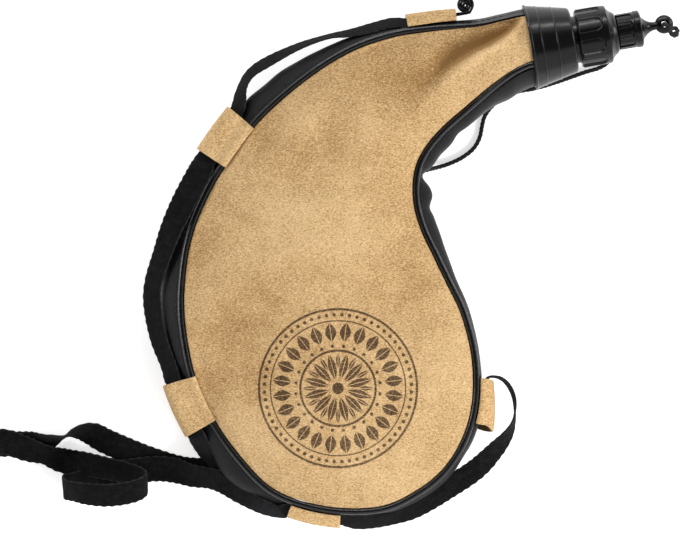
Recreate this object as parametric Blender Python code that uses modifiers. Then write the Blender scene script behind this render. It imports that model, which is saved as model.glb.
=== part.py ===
"""A curved leather bota bag that lies on its back panel, with its front panel up.

Metres, +Z up. The origin is where the flat of the back panel rests, under the belly. +X points along
the mouthpiece, from the bag to the tip of the cap, so the neck, the filler cap and the spout cap all
turn about one line parallel to X.
"""

import math

import bmesh
import bpy
import numpy as np
from mathutils import Matrix, Vector

# Bag
BAG_LENGTH = 0.310  # from the level of the collar's rim down to the lowest seam
BELLY_TOP = 0.048  # height of the front panel over the floor
SEAM_FRONT = 0.036  # height of the front seam along the belly
SEAM_BACK = 0.009  # height of the back seam along the belly
BACK_LEAN = 0.006  # the back panel lies this far to the strap's side of the front panel
GUSSET_REACH = 0.015  # most that the gusset stands out beyond the front seam
LEATHER = 0.0018
GUSSET_LEATHER = 0.0014
PIPING_RADIUS = 0.0020
CLEARANCE = 0.0003  # between neighbours
BLADDER_WALL = 0.0010
BLADDER_ROOM = 0.0012  # between the bladder and the leather at the belly

# Mouthpiece, along its axis from the collar's rim
MOUTH_TILT = math.radians(9.8)  # of the mouthpiece's axis over the outline's own x axis
AXIS_HEIGHT = 0.027
COLLAR_RADIUS = 0.02645
COLLAR_FRONT_RADIUS = 0.0202
COLLAR_LENGTH = 0.028
COLLAR_WALL = 0.0016
COLLAR_FRONT_WALL = 0.0036
COLLAR_RIDGE = 0.0004
COLLAR_RIM = 0.0012
TUCK = 0.008  # length of leather held inside the collar
TUBE_BORE = 0.012
TUBE_RADIUS = 0.0146
TUBE_REACH = 0.016  # of the threaded tube past the collar
TUBE_END = COLLAR_LENGTH + TUBE_REACH
TUBE_FOOT = 0.003  # of the tube inside the bag
THREAD_ROOM = 0.0004
GASKET_THICKNESS = 0.0020
FILLER_RADIUS = 0.0182
FILLER_GAP = 0.003  # between the collar and the screwed-down filler cap
FILLER_START = COLLAR_LENGTH + FILLER_GAP
FILLER_TOP_WALL = 0.0040
FILLER_EDGE = 0.0010  # rounding of the filler cap's rim
FILLER_RECESSES = 8
FILLER_RECESS_WIDTH = 0.0098
FILLER_RECESS_DEPTH = 0.0013
FILLER_RECESS_LENGTH = 0.0158
SHOULDER_RADIUS = 0.0129
SHOULDER_LENGTH = 0.0048
NOZZLE_RADIUS = 0.00755
NOZZLE_LENGTH = 0.0106
NOZZLE_BORE = 0.0026
DRINK_HOLE = 0.0012
CAP_RADIUS = 0.01115
CAP_LENGTH = 0.0155
CAP_FLANGE_LENGTH = 0.0042
CAP_FLANGE_PROUD = 0.0004
CAP_RECESSES = 10
CAP_RECESS_WIDTH = 0.0042
CAP_RECESS_DEPTH = 0.0008
CAP_RECESS_LENGTH = 0.0098
SEAL_THICKNESS = 0.0013
FINIAL_BASE = 0.0080
FINIAL_NECK = 0.0025
FINIAL_LENGTH = 0.0098
BALL_RADIUS = 0.0059
BALL_THICKNESS = 0.0070
EYE_RADIUS = 0.0019

# Tether cord
TETHER_RADIUS = 0.00125
KNOT_RADIUS = 0.0026

# Keepers and strap
KEEPER_WIDTH = 0.030
KEEPER_LEATHER = 0.0016
LONG_KEEPER_REACH = 0.0217  # outer face of the two keepers on the long side, beyond the seam
SHORT_KEEPER_REACH = 0.0133
STRAP_WIDTH = 0.0165
STRAP_THICKNESS = 0.0015
STRAP_ROLL_RADIUS = 0.0052  # of the rolled end that can't slip through the top keeper
STRAP_ROLL_CORE = 0.0020

# The seam of the front panel from the neck's long side round the belly to its short side:
# x, y, place along the spine, and how far the gusset stands out
SEAM_SHARES = (
    (0.372, 0.606, 0.00, 0.42),
    (0.330, 0.596, 0.06, 0.44),
    (0.284, 0.586, 0.12, 0.44),
    (0.198, 0.578, 0.22, 0.46),
    (0.110, 0.564, 0.31, 0.54),
    (0.024, 0.532, 0.40, 0.67),
    (-0.062, 0.476, 0.50, 0.75),
    (-0.150, 0.398, 0.60, 0.83),
    (-0.214, 0.314, 0.69, 0.92),
    (-0.248, 0.258, 0.75, 0.96),
    (-0.276, 0.196, 0.81, 1.00),
    (-0.292, 0.140, 0.87, 1.00),
    (-0.300, 0.080, 0.93, 1.00),
    (-0.302, 0.020, 1.00, 1.00),
    (-0.294, -0.050, 1.00, 1.00),
    (-0.276, -0.124, 1.00, 0.96),
    (-0.236, -0.208, 1.00, 0.88),
    (-0.180, -0.284, 1.00, 0.79),
    (-0.126, -0.336, 1.00, 0.71),
    (-0.060, -0.364, 1.00, 0.58),
    (0.020, -0.377, 1.00, 0.46),
    (0.100, -0.371, 1.00, 0.38),
    (0.168, -0.338, 1.00, 0.33),
    (0.216, -0.298, 1.00, 0.31),
    (0.250, -0.246, 1.00, 0.30),
    (0.270, -0.188, 1.00, 0.30),
    (0.276, -0.124, 1.00, 0.30),
    (0.270, -0.056, 1.00, 0.32),
    (0.250, 0.016, 0.93, 0.38),
    (0.224, 0.070, 0.84, 0.46),
    (0.198, 0.124, 0.75, 0.58),
    (0.170, 0.184, 0.66, 0.71),
    (0.156, 0.240, 0.58, 0.79),
    (0.158, 0.296, 0.50, 0.63),
    (0.176, 0.340, 0.43, 0.54),
    (0.212, 0.384, 0.36, 0.54),
    (0.262, 0.428, 0.26, 0.63),
    (0.310, 0.468, 0.16, 0.75),
    (0.356, 0.500, 0.06, 0.88),
    (0.390, 0.516, 0.00, 0.96),
)
# The middle line of the bag, from the collar's rim to the middle of the belly
SPINE_SHARES = (
    (0.390, 0.547),
    (0.310, 0.532),
    (0.230, 0.504),
    (0.146, 0.456),
    (0.074, 0.390),
    (0.020, 0.310),
    (-0.014, 0.220),
    (-0.030, 0.130),
    (-0.026, 0.040),
    (-0.014, -0.050),
)
NECK_SPINE_SHARES = (0.03, 0.30)  # of the spine: the neck is round up to the first, gone at the second
FLAT_SHARE = 0.70  # of the back panel's half width that lies flat
BACK_SEAM_ANGLE = math.radians(140)  # round the neck, from its top
SPINE_STEPS = 16
BELLY_STEPS = 20
PANEL_RINGS = 4
GUSSET_COLUMNS = 6

# Middle of each keeper along the seam, and whether it starts over the piping
KEEPER_SHARES = {
    "keeper_top": (0.065, False),
    "keeper_upper_left": (0.236, True),
    "keeper_lower_left": (0.431, True),
    "keeper_bottom": (0.549, False),
    "keeper_right": (0.703, False),
}

# Free stretches of the strap: x, y, height and turn, where 0 lies flat and 1 stands on edge with the
# edge on the left-hand side of the way it runs up. Heights are shares of the belly's.
TOP_STRETCH_SHARES = (
    (0.070, 0.588, 0.46, 0.86),
    (-0.010, 0.572, 0.46, 0.97),
    (-0.074, 0.548, 0.46, 0.78),
    (-0.134, 0.516, 0.46, 0.70),
    (-0.174, 0.470, 0.47, 0.74),
)
LEFT_STRETCH_SHARES = (
    (-0.281, 0.296, 0.63, 0.47),
    (-0.314, 0.220, 0.70, 0.39),
    (-0.344, 0.140, 0.60, 0.50),
    (-0.368, 0.074, 0.50, 0.58),
    (-0.372, 0.030, 0.48, 0.60),
    (-0.360, -0.036, 0.47, 0.68),
    (-0.340, -0.090, 0.46, 0.74),
)
UPPER_STRAND_SHARES = (
    (-0.272, -0.256, 0.396, 0.85),
    (-0.262, -0.284, 0.250, 0.75),
    (-0.264, -0.300, 0.146, 0.50),
    (-0.278, -0.306, 0.076, 0.20),
    (-0.300, -0.306, 0.050, 0.10),
    (-0.330, -0.300, 0.017, 0.00),
    (-0.380, -0.284, 0.017, 0.00),
    (-0.430, -0.264, 0.017, 0.00),
    (-0.470, -0.246, 0.034, -0.05),
    (-0.490, -0.234, 0.073, -0.20),
    (-0.510, -0.228, 0.138, -0.50),
    (-0.530, -0.230, 0.177, -0.75),
    (-0.546, -0.237, 0.188, -0.95),
    (-0.566, -0.242, 0.177, -0.75),
    (-0.586, -0.248, 0.138, -0.50),
    (-0.610, -0.252, 0.073, -0.20),
    (-0.640, -0.254, 0.021, 0.00),
    (-0.670, -0.254, 0.017, 0.00),
)
FOLD_SHARES = (
    (-0.705, -0.256, 0.017, 0.00),
    (-0.740, -0.258, 0.017, 0.00),
    (-0.775, -0.260, 0.019, 0.00),
)
FOLD_RETURN_SHARES = (
    (-0.775, -0.260, 0.130, 0.00),
    (-0.740, -0.258, 0.078, 0.00),
    (-0.705, -0.252, 0.064, 0.00),
    (-0.670, -0.249, 0.071, 0.00),
)
# In these the last number is the lean of the loop's upright edge, as a share of a quarter turn
CURL_START_SHARES = (
    (-0.630, -0.262, 0.104, 0.10),
    (-0.586, -0.275, 0.150, 0.40),
)
CURL_SHARES = (
    (-0.546, -0.289, 0.042, 0.06),
    (-0.510, -0.294, 0.063, 0.11),
    (-0.470, -0.301, 0.135, 0.24),
    (-0.426, -0.310, 0.198, 0.31),
    (-0.394, -0.320, 0.271, 0.31),
    (-0.380, -0.331, 0.375, 0.28),
    (-0.394, -0.342, 0.500, 0.28),
    (-0.426, -0.350, 0.583, 0.28),
    (-0.464, -0.353, 0.604, 0.28),
    (-0.502, -0.351, 0.583, 0.28),
    (-0.532, -0.347, 0.479, 0.28),
    (-0.546, -0.343, 0.313, 0.22),
    (-0.538, -0.338, 0.146, 0.11),
    (-0.514, -0.332, 0.042, 0.04),
    (-0.470, -0.320, 0.040, 0.00),
    (-0.420, -0.310, 0.064, 0.00),
)
LOWER_STRAND_SHARES = (
    (-0.380, -0.305, 0.060, 0.00),
    (-0.350, -0.304, 0.067, 0.00),
    (-0.320, -0.308, 0.140, 0.12),
    (-0.290, -0.316, 0.260, 0.30),
    (-0.260, -0.328, 0.350, 0.50),
    (-0.226, -0.344, 0.400, 0.62),
    (-0.190, -0.360, 0.432, 0.77),
    (-0.146, -0.378, 0.448, 0.90),
)
RIGHT_STRETCH_SHARES = (
    (0.070, -0.408, 0.46, 0.92),
    (0.140, -0.398, 0.45, 0.66),
    (0.198, -0.376, 0.44, 0.36),
    (0.236, -0.350, 0.43, 0.28),
    (0.284, -0.302, 0.43, 0.34),
    (0.324, -0.262, 0.44, 0.50),
    (0.348, -0.232, 0.45, 0.70),
    (0.360, -0.200, 0.46, 0.88),
    (0.362, -0.172, 0.46, 1.00),
    (0.358, -0.144, 0.46, 1.00),
    (0.347, -0.121, 0.46, 1.00),
    (0.330, -0.106, 0.46, 1.00),
    (0.312, -0.102, 0.46, 1.00),
)

# The tether's route, from the knot at the cap to the back seam inside the bend. The second list goes
# on where the first ends. Both lie under the mouthpiece and then on the floor.
TETHER_LEAD_ROUTE = (
    (0.2275, 0.1465, 0.0135),
    (0.2235, 0.1465, 0.0135),
    (0.2190, 0.1458, 0.0132),
    (0.2140, 0.1442, 0.0120),
    (0.2090, 0.1415, 0.0095),
    (0.2045, 0.1382, 0.0066),
    (0.2010, 0.1348, 0.0044),
    (0.1982, 0.1318, 0.0031),
)
TETHER_CORD_ROUTE = (
    (0.1979, 0.1314, 0.0029),
    (0.1953, 0.1292, 0.0020),
    (0.1900, 0.1274, 0.0014),
    (0.1820, 0.1265, 0.0014),
    (0.1726, 0.1249, 0.0013),
    (0.1640, 0.1235, 0.0013),
    (0.1551, 0.1223, 0.0013),
    (0.1475, 0.1217, 0.0013),
    (0.1410, 0.1217, 0.0013),
    (0.1340, 0.1214, 0.0013),
    (0.1270, 0.1192, 0.0013),
    (0.1196, 0.1148, 0.0013),
    (0.1146, 0.1098, 0.0013),
    (0.1119, 0.1040, 0.0013),
    (0.1100, 0.0988, 0.0013),
    (0.1074, 0.0944, 0.0013),
    (0.1040, 0.0909, 0.0013),
    (0.0998, 0.0883, 0.0013),
    (0.0950, 0.0862, 0.0013),
    (0.0901, 0.0848, 0.0013),
    (0.0852, 0.0838, 0.0015),
    (0.0805, 0.0832, 0.0026),
    (0.0775, 0.0829, 0.0050),
    (0.0750, 0.0827, 0.0078),
    (0.0726, 0.0825, 0.0096),
    (0.0704, 0.0823, 0.0100),
)

TURNED_STEPS = 32
MERGE = 1e-6
CUT_OVERRUN = 0.002


# Scene


def clear_scene():
    for obj in list(bpy.data.objects):
        bpy.data.objects.remove(obj, do_unlink=True)


def new_collection(name):
    collection = bpy.data.collections.new(name)
    bpy.context.scene.collection.children.link(collection)
    return collection


def material(name, colour, roughness, metallic=0.0):
    made = bpy.data.materials.new(name)
    made.use_nodes = True
    shader = made.node_tree.nodes["Principled BSDF"]
    shader.inputs["Base Color"].default_value = (*colour, 1.0)
    shader.inputs["Roughness"].default_value = roughness
    shader.inputs["Metallic"].default_value = metallic
    return made


def add_object(name, mesh, collection, finish=None):
    obj = bpy.data.objects.new(name, mesh)
    collection.objects.link(obj)
    if finish:
        mesh.materials.append(finish)
    return obj


def smooth_shaded(obj):
    obj.data.shade_smooth()
    obj.data.set_sharp_from_angle(angle=math.radians(35))
    return obj


def add_solidify(obj, thickness, offset):
    shell = obj.modifiers.new("Thickness", "SOLIDIFY")
    shell.thickness = thickness
    shell.offset = offset
    return obj


def add_boolean(obj, other, operation):
    cut = obj.modifiers.new(operation.title(), "BOOLEAN")
    cut.object = other
    cut.operation = operation
    cut.solver = "EXACT"
    return obj


# Curves through chosen points


def smooth_rows(rows, steps):
    """Catmull-Rom rows through the given rows, each a tuple of numbers."""
    given = np.array(rows, float)
    made = []
    for i in range(len(given) - 1):
        before = given[max(i - 1, 0)]
        start = given[i]
        end = given[i + 1]
        after = given[min(i + 2, len(given) - 1)]
        for t in np.linspace(0, 1, steps, endpoint=False):
            made.append(
                0.5
                * (
                    2 * start
                    + (end - before) * t
                    + (2 * before - 5 * start + 4 * end - after) * t**2
                    + (3 * start - before - 3 * end + after) * t**3
                )
            )
    made.append(given[-1])
    return np.array(made)


def lengths_along(points):
    steps = np.linalg.norm(np.diff(points, axis=0), axis=1)
    return np.concatenate([[0.0], np.cumsum(steps)])


def rows_at(rows, places, wanted):
    """Each column of rows read at the wanted places along them."""
    return np.stack([np.interp(wanted, places, column) for column in rows.T], axis=1)


def mix(a, b, share):
    return a * (1 - share) + b * share


def smooth_step(low, high, value):
    t = min(max((value - low) / (high - low), 0.0), 1.0)
    return t * t * (3 - 2 * t)


# The bag's plan and its cross-sections


def plan_point(x_share, y_share):
    """A place of the outline's own frame, turned so that the mouthpiece runs along X."""
    cos, sin = math.cos(MOUTH_TILT), math.sin(MOUTH_TILT)
    return np.array((x_share * cos + y_share * sin, y_share * cos - x_share * sin)) * BAG_LENGTH


NECK_CENTRE = plan_point(*SPINE_SHARES[0])
NECK_RADIUS = COLLAR_RADIUS - COLLAR_WALL - CLEARANCE - 0.5 * COLLAR_RIDGE
COLLAR_SLOPE = (COLLAR_RADIUS - COLLAR_FRONT_RADIUS) / COLLAR_LENGTH
LEAN = -BACK_LEAN * np.array((math.cos(MOUTH_TILT), -math.sin(MOUTH_TILT)))
STACK = LEATHER + BLADDER_WALL + 2 * CLEARANCE  # leather and clamp over the bladder's neck

dense = smooth_rows([(*plan_point(x, y), along, reach) for x, y, along, reach in SEAM_SHARES], 12)
dense_lengths = lengths_along(dense[:, :2])
dense_places = dense_lengths / dense_lengths[-1]
spine = smooth_rows([plan_point(x, y) for x, y in SPINE_SHARES], 8)
spine_places = lengths_along(spine) / lengths_along(spine)[-1]


def neck_radius_at(along_axis):
    """Outer radius of the leather inside the collar, which narrows with it."""
    return NECK_RADIUS - COLLAR_SLOPE * max(along_axis, 0.0)


class Station:
    """One place on the seam with the cross-section that hangs on it.

    Heights and outward distances are a mix of two shapes: the round neck, about the mouthpiece's
    axis, and the belly, with its domed front and flat back.
    """

    def __init__(self, place, along=None, inside=0.0, side=0):
        row = rows_at(dense, dense_places, [place])[0]
        ahead, behind = rows_at(
            dense[:, :2], dense_places, [min(place + 0.004, 1.0), max(place - 0.004, 0.0)]
        )
        self.seam = row[:2]
        self.along = row[2] if along is None else along
        self.reach = row[3] * GUSSET_REACH
        self.round = 1 - smooth_step(*NECK_SPINE_SHARES, self.along)
        tangent = (ahead - behind) / np.linalg.norm(ahead - behind)
        normal = np.array((tangent[1], -tangent[0]))
        square = np.array((0.0, 1.0 if place < 0.5 else -1.0))
        self.outward = mix(normal, square, self.round**3)
        self.outward /= np.linalg.norm(self.outward)
        self.spine = rows_at(spine, spine_places, [self.along])[0]
        self.radius = neck_radius_at(inside)
        first = dense[0, :2] if place < 0.5 else dense[-1, :2]
        self.angle = math.asin(abs(first[1] - NECK_CENTRE[1]) / NECK_RADIUS)
        if side:
            self.outward = np.array((0.0, float(side)))
            self.spine = NECK_CENTRE + (inside, 0)
            self.seam = self.spine + self.outward * self.radius * math.sin(self.angle)
            self.round = 1.0
        neck_shift = self.outward * self.radius * (math.sin(BACK_SEAM_ANGLE) - math.sin(self.angle))
        self.lean = LEAN * smooth_step(0.2, 0.9, self.along)
        self.shift = mix(self.lean, neck_shift, self.round)
        self.front_height = mix(SEAM_FRONT, AXIS_HEIGHT + self.radius * math.cos(self.angle), self.round)
        self.back_height = mix(
            SEAM_BACK, AXIS_HEIGHT + self.radius * math.cos(BACK_SEAM_ANGLE), self.round
        )

    def point(self, plan, height):
        return Vector((plan[0], plan[1], height))

    def front(self, share):
        """The front panel's outer face, from the spine at 0 to the seam at 1."""
        plan = mix(self.spine, self.seam, share)
        dome = (1 - share**2.2) ** 0.8
        neck = self.radius * math.sqrt(1 - (share * math.sin(self.angle)) ** 2)
        height = mix(mix(SEAM_FRONT, BELLY_TOP, dome), AXIS_HEIGHT + neck, self.round)
        return self.point(plan, height)

    def back(self, share):
        """The back panel's outer face, flat on the floor over most of its width."""
        plan = mix(self.spine, self.seam + self.shift, share)
        lift = max(share - FLAT_SHARE, 0.0) / (1 - FLAT_SHARE)
        neck = self.radius * math.sqrt(1 - (share * math.sin(BACK_SEAM_ANGLE)) ** 2)
        height = mix(SEAM_BACK * lift**1.6, AXIS_HEIGHT - neck, self.round)
        return self.point(plan, height)

    def on_neck(self, angle, depth=0.0):
        """A plan place and height on the round neck, at an angle from its top."""
        radius = self.radius - depth
        outwards = radius * math.sin(angle) - self.radius * math.sin(self.angle)
        return self.seam + self.outward * outwards, AXIS_HEIGHT + radius * math.cos(angle)

    def gusset(self, share, proud=0.0):
        """The gusset's outer face, from the front piping at 0 to the back piping at 1."""
        edge = PIPING_RADIUS + CLEARANCE
        start = edge + 0.7 * PIPING_RADIUS + self.round * (1 - self.round) * 6 * CLEARANCE
        bulge = max(self.reach - start - 0.5 * float(self.lean @ self.outward), PIPING_RADIUS / 4)
        swell = 1 - abs(2 * share - 1) ** 2.5
        belly_plan = self.seam + self.lean * share + self.outward * (start + bulge * swell + proud)
        top = SEAM_FRONT - LEATHER / 2 - 0.95 * PIPING_RADIUS
        bottom = SEAM_BACK + LEATHER / 2 + 0.95 * PIPING_RADIUS
        belly_height = mix(top, bottom, share)
        turn = (2 * edge + 2 * CLEARANCE) / (self.radius - LEATHER)
        angle = mix(self.angle + turn, BACK_SEAM_ANGLE - turn, share)
        neck_plan, neck_height = self.on_neck(angle, -proud)
        return self.point(mix(belly_plan, neck_plan, self.round), mix(belly_height, neck_height, self.round))

    def piping(self, back):
        """Centre of the front or the back piping."""
        edge = PIPING_RADIUS + CLEARANCE
        turn = edge / (self.radius - LEATHER)
        if back:
            belly_plan = self.seam + self.lean + self.outward * edge
            belly_height = SEAM_BACK + LEATHER / 2
            neck_plan, neck_height = self.on_neck(BACK_SEAM_ANGLE - turn, LEATHER / 2)
        else:
            belly_plan = self.seam + self.outward * edge
            belly_height = SEAM_FRONT - LEATHER / 2
            neck_plan, neck_height = self.on_neck(self.angle + turn, LEATHER / 2)
        return self.point(mix(belly_plan, neck_plan, self.round), mix(belly_height, neck_height, self.round))

    def middle_height(self):
        return mix((SEAM_FRONT + SEAM_BACK) / 2, AXIS_HEIGHT, self.round)

    def beside(self, outwards, height, back=False):
        """A place beside the front or back seam, used for keepers and the strap in them."""
        edge = float(self.shift @ self.outward) if back else 0.0
        return self.point(self.seam + self.outward * (outwards + edge), height)


def side_stations(long_side):
    """Stations along one side of the neck and the bend, from the spine's start to the belly."""
    shares = np.linspace(0, 1, SPINE_STEPS)
    turn_places = [dense_places[i] for i in range(len(dense)) if dense[i, 2] >= 1 - MERGE]
    if long_side:
        kept = dense_places <= turn_places[0]
        places = np.interp(shares, dense[kept, 2], dense_places[kept])
    else:
        kept = dense_places >= turn_places[-1]
        places = np.interp(shares, dense[kept, 2][::-1], dense_places[kept][::-1])
    return [Station(place, along) for place, along in zip(places, shares)]


def belly_stations():
    turn_places = [dense_places[i] for i in range(len(dense)) if dense[i, 2] >= 1 - MERGE]
    places = np.linspace(turn_places[0], turn_places[-1], BELLY_STEPS + 1)[1:-1]
    return [Station(place, 1.0) for place in places]


def neck_stations(side, depths):
    place = 0.0 if side > 0 else 1.0
    return [Station(place, 0.0, inside, side) for inside in depths]


def all_stations(depths):
    """Stations round the whole seam, with the given depths inside the collar at both ends."""
    return (
        neck_stations(1, depths)
        + side_stations(True)
        + belly_stations()
        + side_stations(False)[::-1]
        + neck_stations(-1, depths[::-1])
    )


# Solids


def surface(name, rows, collection, finish, flip=False):
    """An open surface through rows of points, where points that fall together are one."""
    mesh = bpy.data.meshes.new(name)
    built = bmesh.new()
    known = {}

    def vertex(point):
        key = tuple(round(value / MERGE) for value in point)
        if key not in known:
            known[key] = built.verts.new(point)
        return known[key]

    grid = [[vertex(point) for point in row] for row in rows]
    for first, second in zip(grid, grid[1:]):
        for a, b, c, d in zip(first, first[1:], second[1:], second):
            corners = list(dict.fromkeys((a, b, c, d)))
            if len(corners) > 2:
                built.faces.new(corners[::-1] if flip else corners)
    built.to_mesh(mesh)
    built.free()
    return smooth_shaded(add_object(name, mesh, collection, finish))


def turned(name, profile, collection, finish):
    """A piece turned about the mouthpiece's axis: (along, radius) points, down the outer side."""
    mesh = bpy.data.meshes.new(name)
    built = bmesh.new()
    points = [built.verts.new((radius, 0.0, along)) for along, radius in profile]
    for a, b in zip(points, points[1:]):
        built.edges.new((a, b))
    if min(profile[0][1], profile[-1][1]) > MERGE:
        built.edges.new((points[-1], points[0]))
    built.to_mesh(mesh)
    built.free()
    obj = add_object(name, mesh, collection, finish)
    obj.parent = mouth_axis
    screw = obj.modifiers.new("Turn", "SCREW")
    screw.steps = TURNED_STEPS
    screw.render_steps = TURNED_STEPS
    screw.use_merge_vertices = True
    screw.merge_threshold = MERGE
    screw.use_smooth_shade = True
    return obj


def tube(name, points, radius, collection, finish, resolution=2, radii=None):
    curve = bpy.data.curves.new(name, "CURVE")
    curve.dimensions = "3D"
    curve.bevel_depth = radius
    curve.bevel_resolution = resolution
    curve.use_fill_caps = True
    spline = curve.splines.new("POLY")
    spline.points.add(len(points) - 1)
    for i, (target, point) in enumerate(zip(spline.points, points)):
        target.co = (*point, 1.0)
        target.radius = radii[i] if radii else 1.0
    obj = bpy.data.objects.new(name, curve)
    collection.objects.link(obj)
    curve.materials.append(finish)
    return obj


def outline_block(name, outline, thickness, collection):
    """A flat outline given a thickness, as a mesh that can cut."""
    curve = bpy.data.curves.new(name, "CURVE")
    curve.dimensions = "2D"
    curve.fill_mode = "BOTH"
    curve.extrude = thickness / 2
    spline = curve.splines.new("POLY")
    spline.points.add(len(outline) - 1)
    spline.use_cyclic_u = True
    for target, (x, y) in zip(spline.points, outline):
        target.co = (x, y, 0.0, 1.0)
    flat = bpy.data.objects.new(name + "_curve", curve)
    collection.objects.link(flat)
    bpy.context.view_layer.update()
    evaluated = flat.evaluated_get(bpy.context.evaluated_depsgraph_get())
    mesh = bpy.data.meshes.new_from_object(evaluated)
    built = bmesh.new()
    built.from_mesh(mesh)
    bmesh.ops.remove_doubles(built, verts=built.verts, dist=MERGE)
    bmesh.ops.recalc_face_normals(built, faces=built.faces)
    built.to_mesh(mesh)
    built.free()
    matrix = flat.matrix_world.copy()
    bpy.data.objects.remove(flat, do_unlink=True)
    block = add_object(name, mesh, collection)
    block.matrix_world = matrix
    return hidden_helper(block)


def hidden_helper(obj):
    obj.hide_render = True
    obj.display_type = "WIRE"
    return obj


def recess_ring(name, count, width, start, length, floor_radius, top_radius):
    """Cutters for flat-bottomed grip recesses, open at the start and round at the other end."""
    arc = [math.radians(angle) for angle in range(0, 181, 45)]
    half = width / 2
    outline = [(-half, start - CUT_OVERRUN), (half, start - CUT_OVERRUN)]
    outline += [
        (half * math.cos(angle), start + length - half + half * math.sin(angle)) for angle in arc
    ]
    thickness = top_radius - floor_radius + CUT_OVERRUN
    joined = bmesh.new()
    block = outline_block(name, outline, thickness, cutters)
    for i in range(count):
        copy = block.data.copy()
        # local z of the block points outwards from the axis and its y along it
        lift = Matrix.Translation((0, floor_radius + thickness / 2, 0))
        stand = Matrix(((1, 0, 0, 0), (0, 0, 1, 0), (0, 1, 0, 0), (0, 0, 0, 1)))
        copy.transform(Matrix.Rotation(2 * math.pi * (i + 0.5) / count, 4, "Z") @ lift @ stand)
        joined.from_mesh(copy)
        bpy.data.meshes.remove(copy)
    bmesh.ops.recalc_face_normals(joined, faces=joined.faces)
    joined.to_mesh(block.data)
    joined.free()
    block.parent = mouth_axis
    return block


def ribbon(name, centres, widths, collection, finish):
    """Flat webbing along a centre line, with the given direction across it at each point."""
    rows = [
        (centre - width * STRAP_WIDTH / 2, centre + width * STRAP_WIDTH / 2)
        for centre, width in zip(centres, widths)
    ]
    return add_solidify(surface(name, rows, collection, finish), STRAP_THICKNESS, 0.0)


# Leather bag


def make_bag():
    depths = (TUCK, TUCK / 2, PIPING_RADIUS / 4)
    stations = all_stations(depths)
    shares = np.linspace(0, 1, PANEL_RINGS + 1)
    front = surface("front_panel", [[s.front(v) for v in shares] for s in stations], parts, suede)
    add_solidify(front, LEATHER, -1.0)
    back = surface(
        "back_panel", [[s.back(v) for v in shares] for s in stations], parts, suede, flip=True
    )
    add_solidify(back, LEATHER, -1.0)
    columns = np.linspace(0, 1, GUSSET_COLUMNS + 1)
    band = surface("gusset", [[s.gusset(v) for v in columns] for s in stations], parts, leatherette)
    add_solidify(band, GUSSET_LEATHER, -1.0)
    outside = all_stations(())
    for name, is_back in (("front_piping", False), ("back_piping", True)):
        line = [s.piping(is_back) for s in outside]
        ends = [Vector((NECK_CENTRE[0] - CLEARANCE, end.y, end.z)) for end in (line[0], line[-1])]
        tube(name, [ends[0], *line, ends[1]], PIPING_RADIUS, parts, piping_finish)


def make_bladder():
    """An inner bag on the same cross-sections, drawn in to clear the leather and necked to the tube."""
    depths = (TUCK - 2 * CLEARANCE, TUCK / 2, PIPING_RADIUS / 4)
    neck_scale = (NECK_RADIUS - STACK - CLEARANCE) / NECK_RADIUS
    half = BELLY_TOP / 2
    belly_scale = (half - LEATHER - BLADDER_ROOM) / half
    rows = []
    stations = all_stations(depths)
    inner = len(depths)
    for station in stations[:inner] + stations[inner:-inner:2] + stations[-inner:]:
        centre = station.point(station.spine, mix(half, AXIS_HEIGHT, station.round))
        scale = mix(belly_scale, neck_scale, station.round)
        loop = [station.front(v) for v in (0.0, 0.5, 1.0)]
        loop += [station.gusset(v) for v in (0.3, 0.7)]
        loop += [station.back(v) for v in (1.0, FLAT_SHARE, 0.35, 0.0)]
        if station.round == 1.0:
            scale = (station.radius - STACK - CLEARANCE) / station.radius
        rows.append([centre + (point - centre) * scale for point in loop])
    add_solidify(surface("bladder", rows, parts, latex), BLADDER_WALL, -1.0)


# Mouthpiece


def collar_outer(along):
    return COLLAR_RADIUS - COLLAR_SLOPE * along


def collar_inner(along):
    return neck_radius_at(along) + 1.4 * CLEARANCE


def make_collar():
    front = COLLAR_LENGTH - COLLAR_FRONT_WALL
    hole = TUBE_RADIUS + THREAD_ROOM
    edge = COLLAR_FRONT_WALL / 3
    profile = [
        (COLLAR_LENGTH, hole),
        (COLLAR_LENGTH, collar_outer(COLLAR_LENGTH) - edge),
        (COLLAR_LENGTH - edge / 3, collar_outer(COLLAR_LENGTH) - edge / 3),
        (COLLAR_LENGTH - edge, collar_outer(COLLAR_LENGTH - edge)),
    ]
    for share in (0.6, 0.26):
        at = COLLAR_LENGTH * share
        profile += [
            (at + COLLAR_RIDGE, collar_outer(at + COLLAR_RIDGE)),
            (at, collar_outer(at) + COLLAR_RIDGE),
            (at - COLLAR_RIDGE, collar_outer(at - COLLAR_RIDGE)),
        ]
    profile += [
        (COLLAR_RIM + COLLAR_RIDGE, collar_outer(COLLAR_RIM)),
        (COLLAR_RIM, collar_outer(0) + COLLAR_RIDGE),
        (0.0, collar_outer(0) + COLLAR_RIDGE),
        (0.0, collar_inner(0)),
        (front, collar_inner(front)),
        (front, hole),
    ]
    turned("neck_collar", profile, parts, black_plastic)


def make_neck_tube():
    """The threaded tube: its skirt holds bladder and leather against the collar's cone."""
    front = COLLAR_LENGTH - COLLAR_FRONT_WALL - CLEARANCE
    seat = TUCK + CLEARANCE
    within = STACK + 2.5 * BLADDER_WALL + 2 * CLEARANCE
    profile = [
        (TUBE_END, TUBE_BORE),
        (TUBE_END, TUBE_RADIUS),
        (front, TUBE_RADIUS),
        (front, collar_inner(front) - CLEARANCE),
        (seat, collar_inner(seat) - CLEARANCE),
        (seat, neck_radius_at(seat) - within),
        (0.0, neck_radius_at(0) - within),
        (-TUBE_FOOT, neck_radius_at(0) - within),
        (-TUBE_FOOT, TUBE_BORE),
    ]
    turned("neck_tube", profile, parts, black_plastic)


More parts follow.
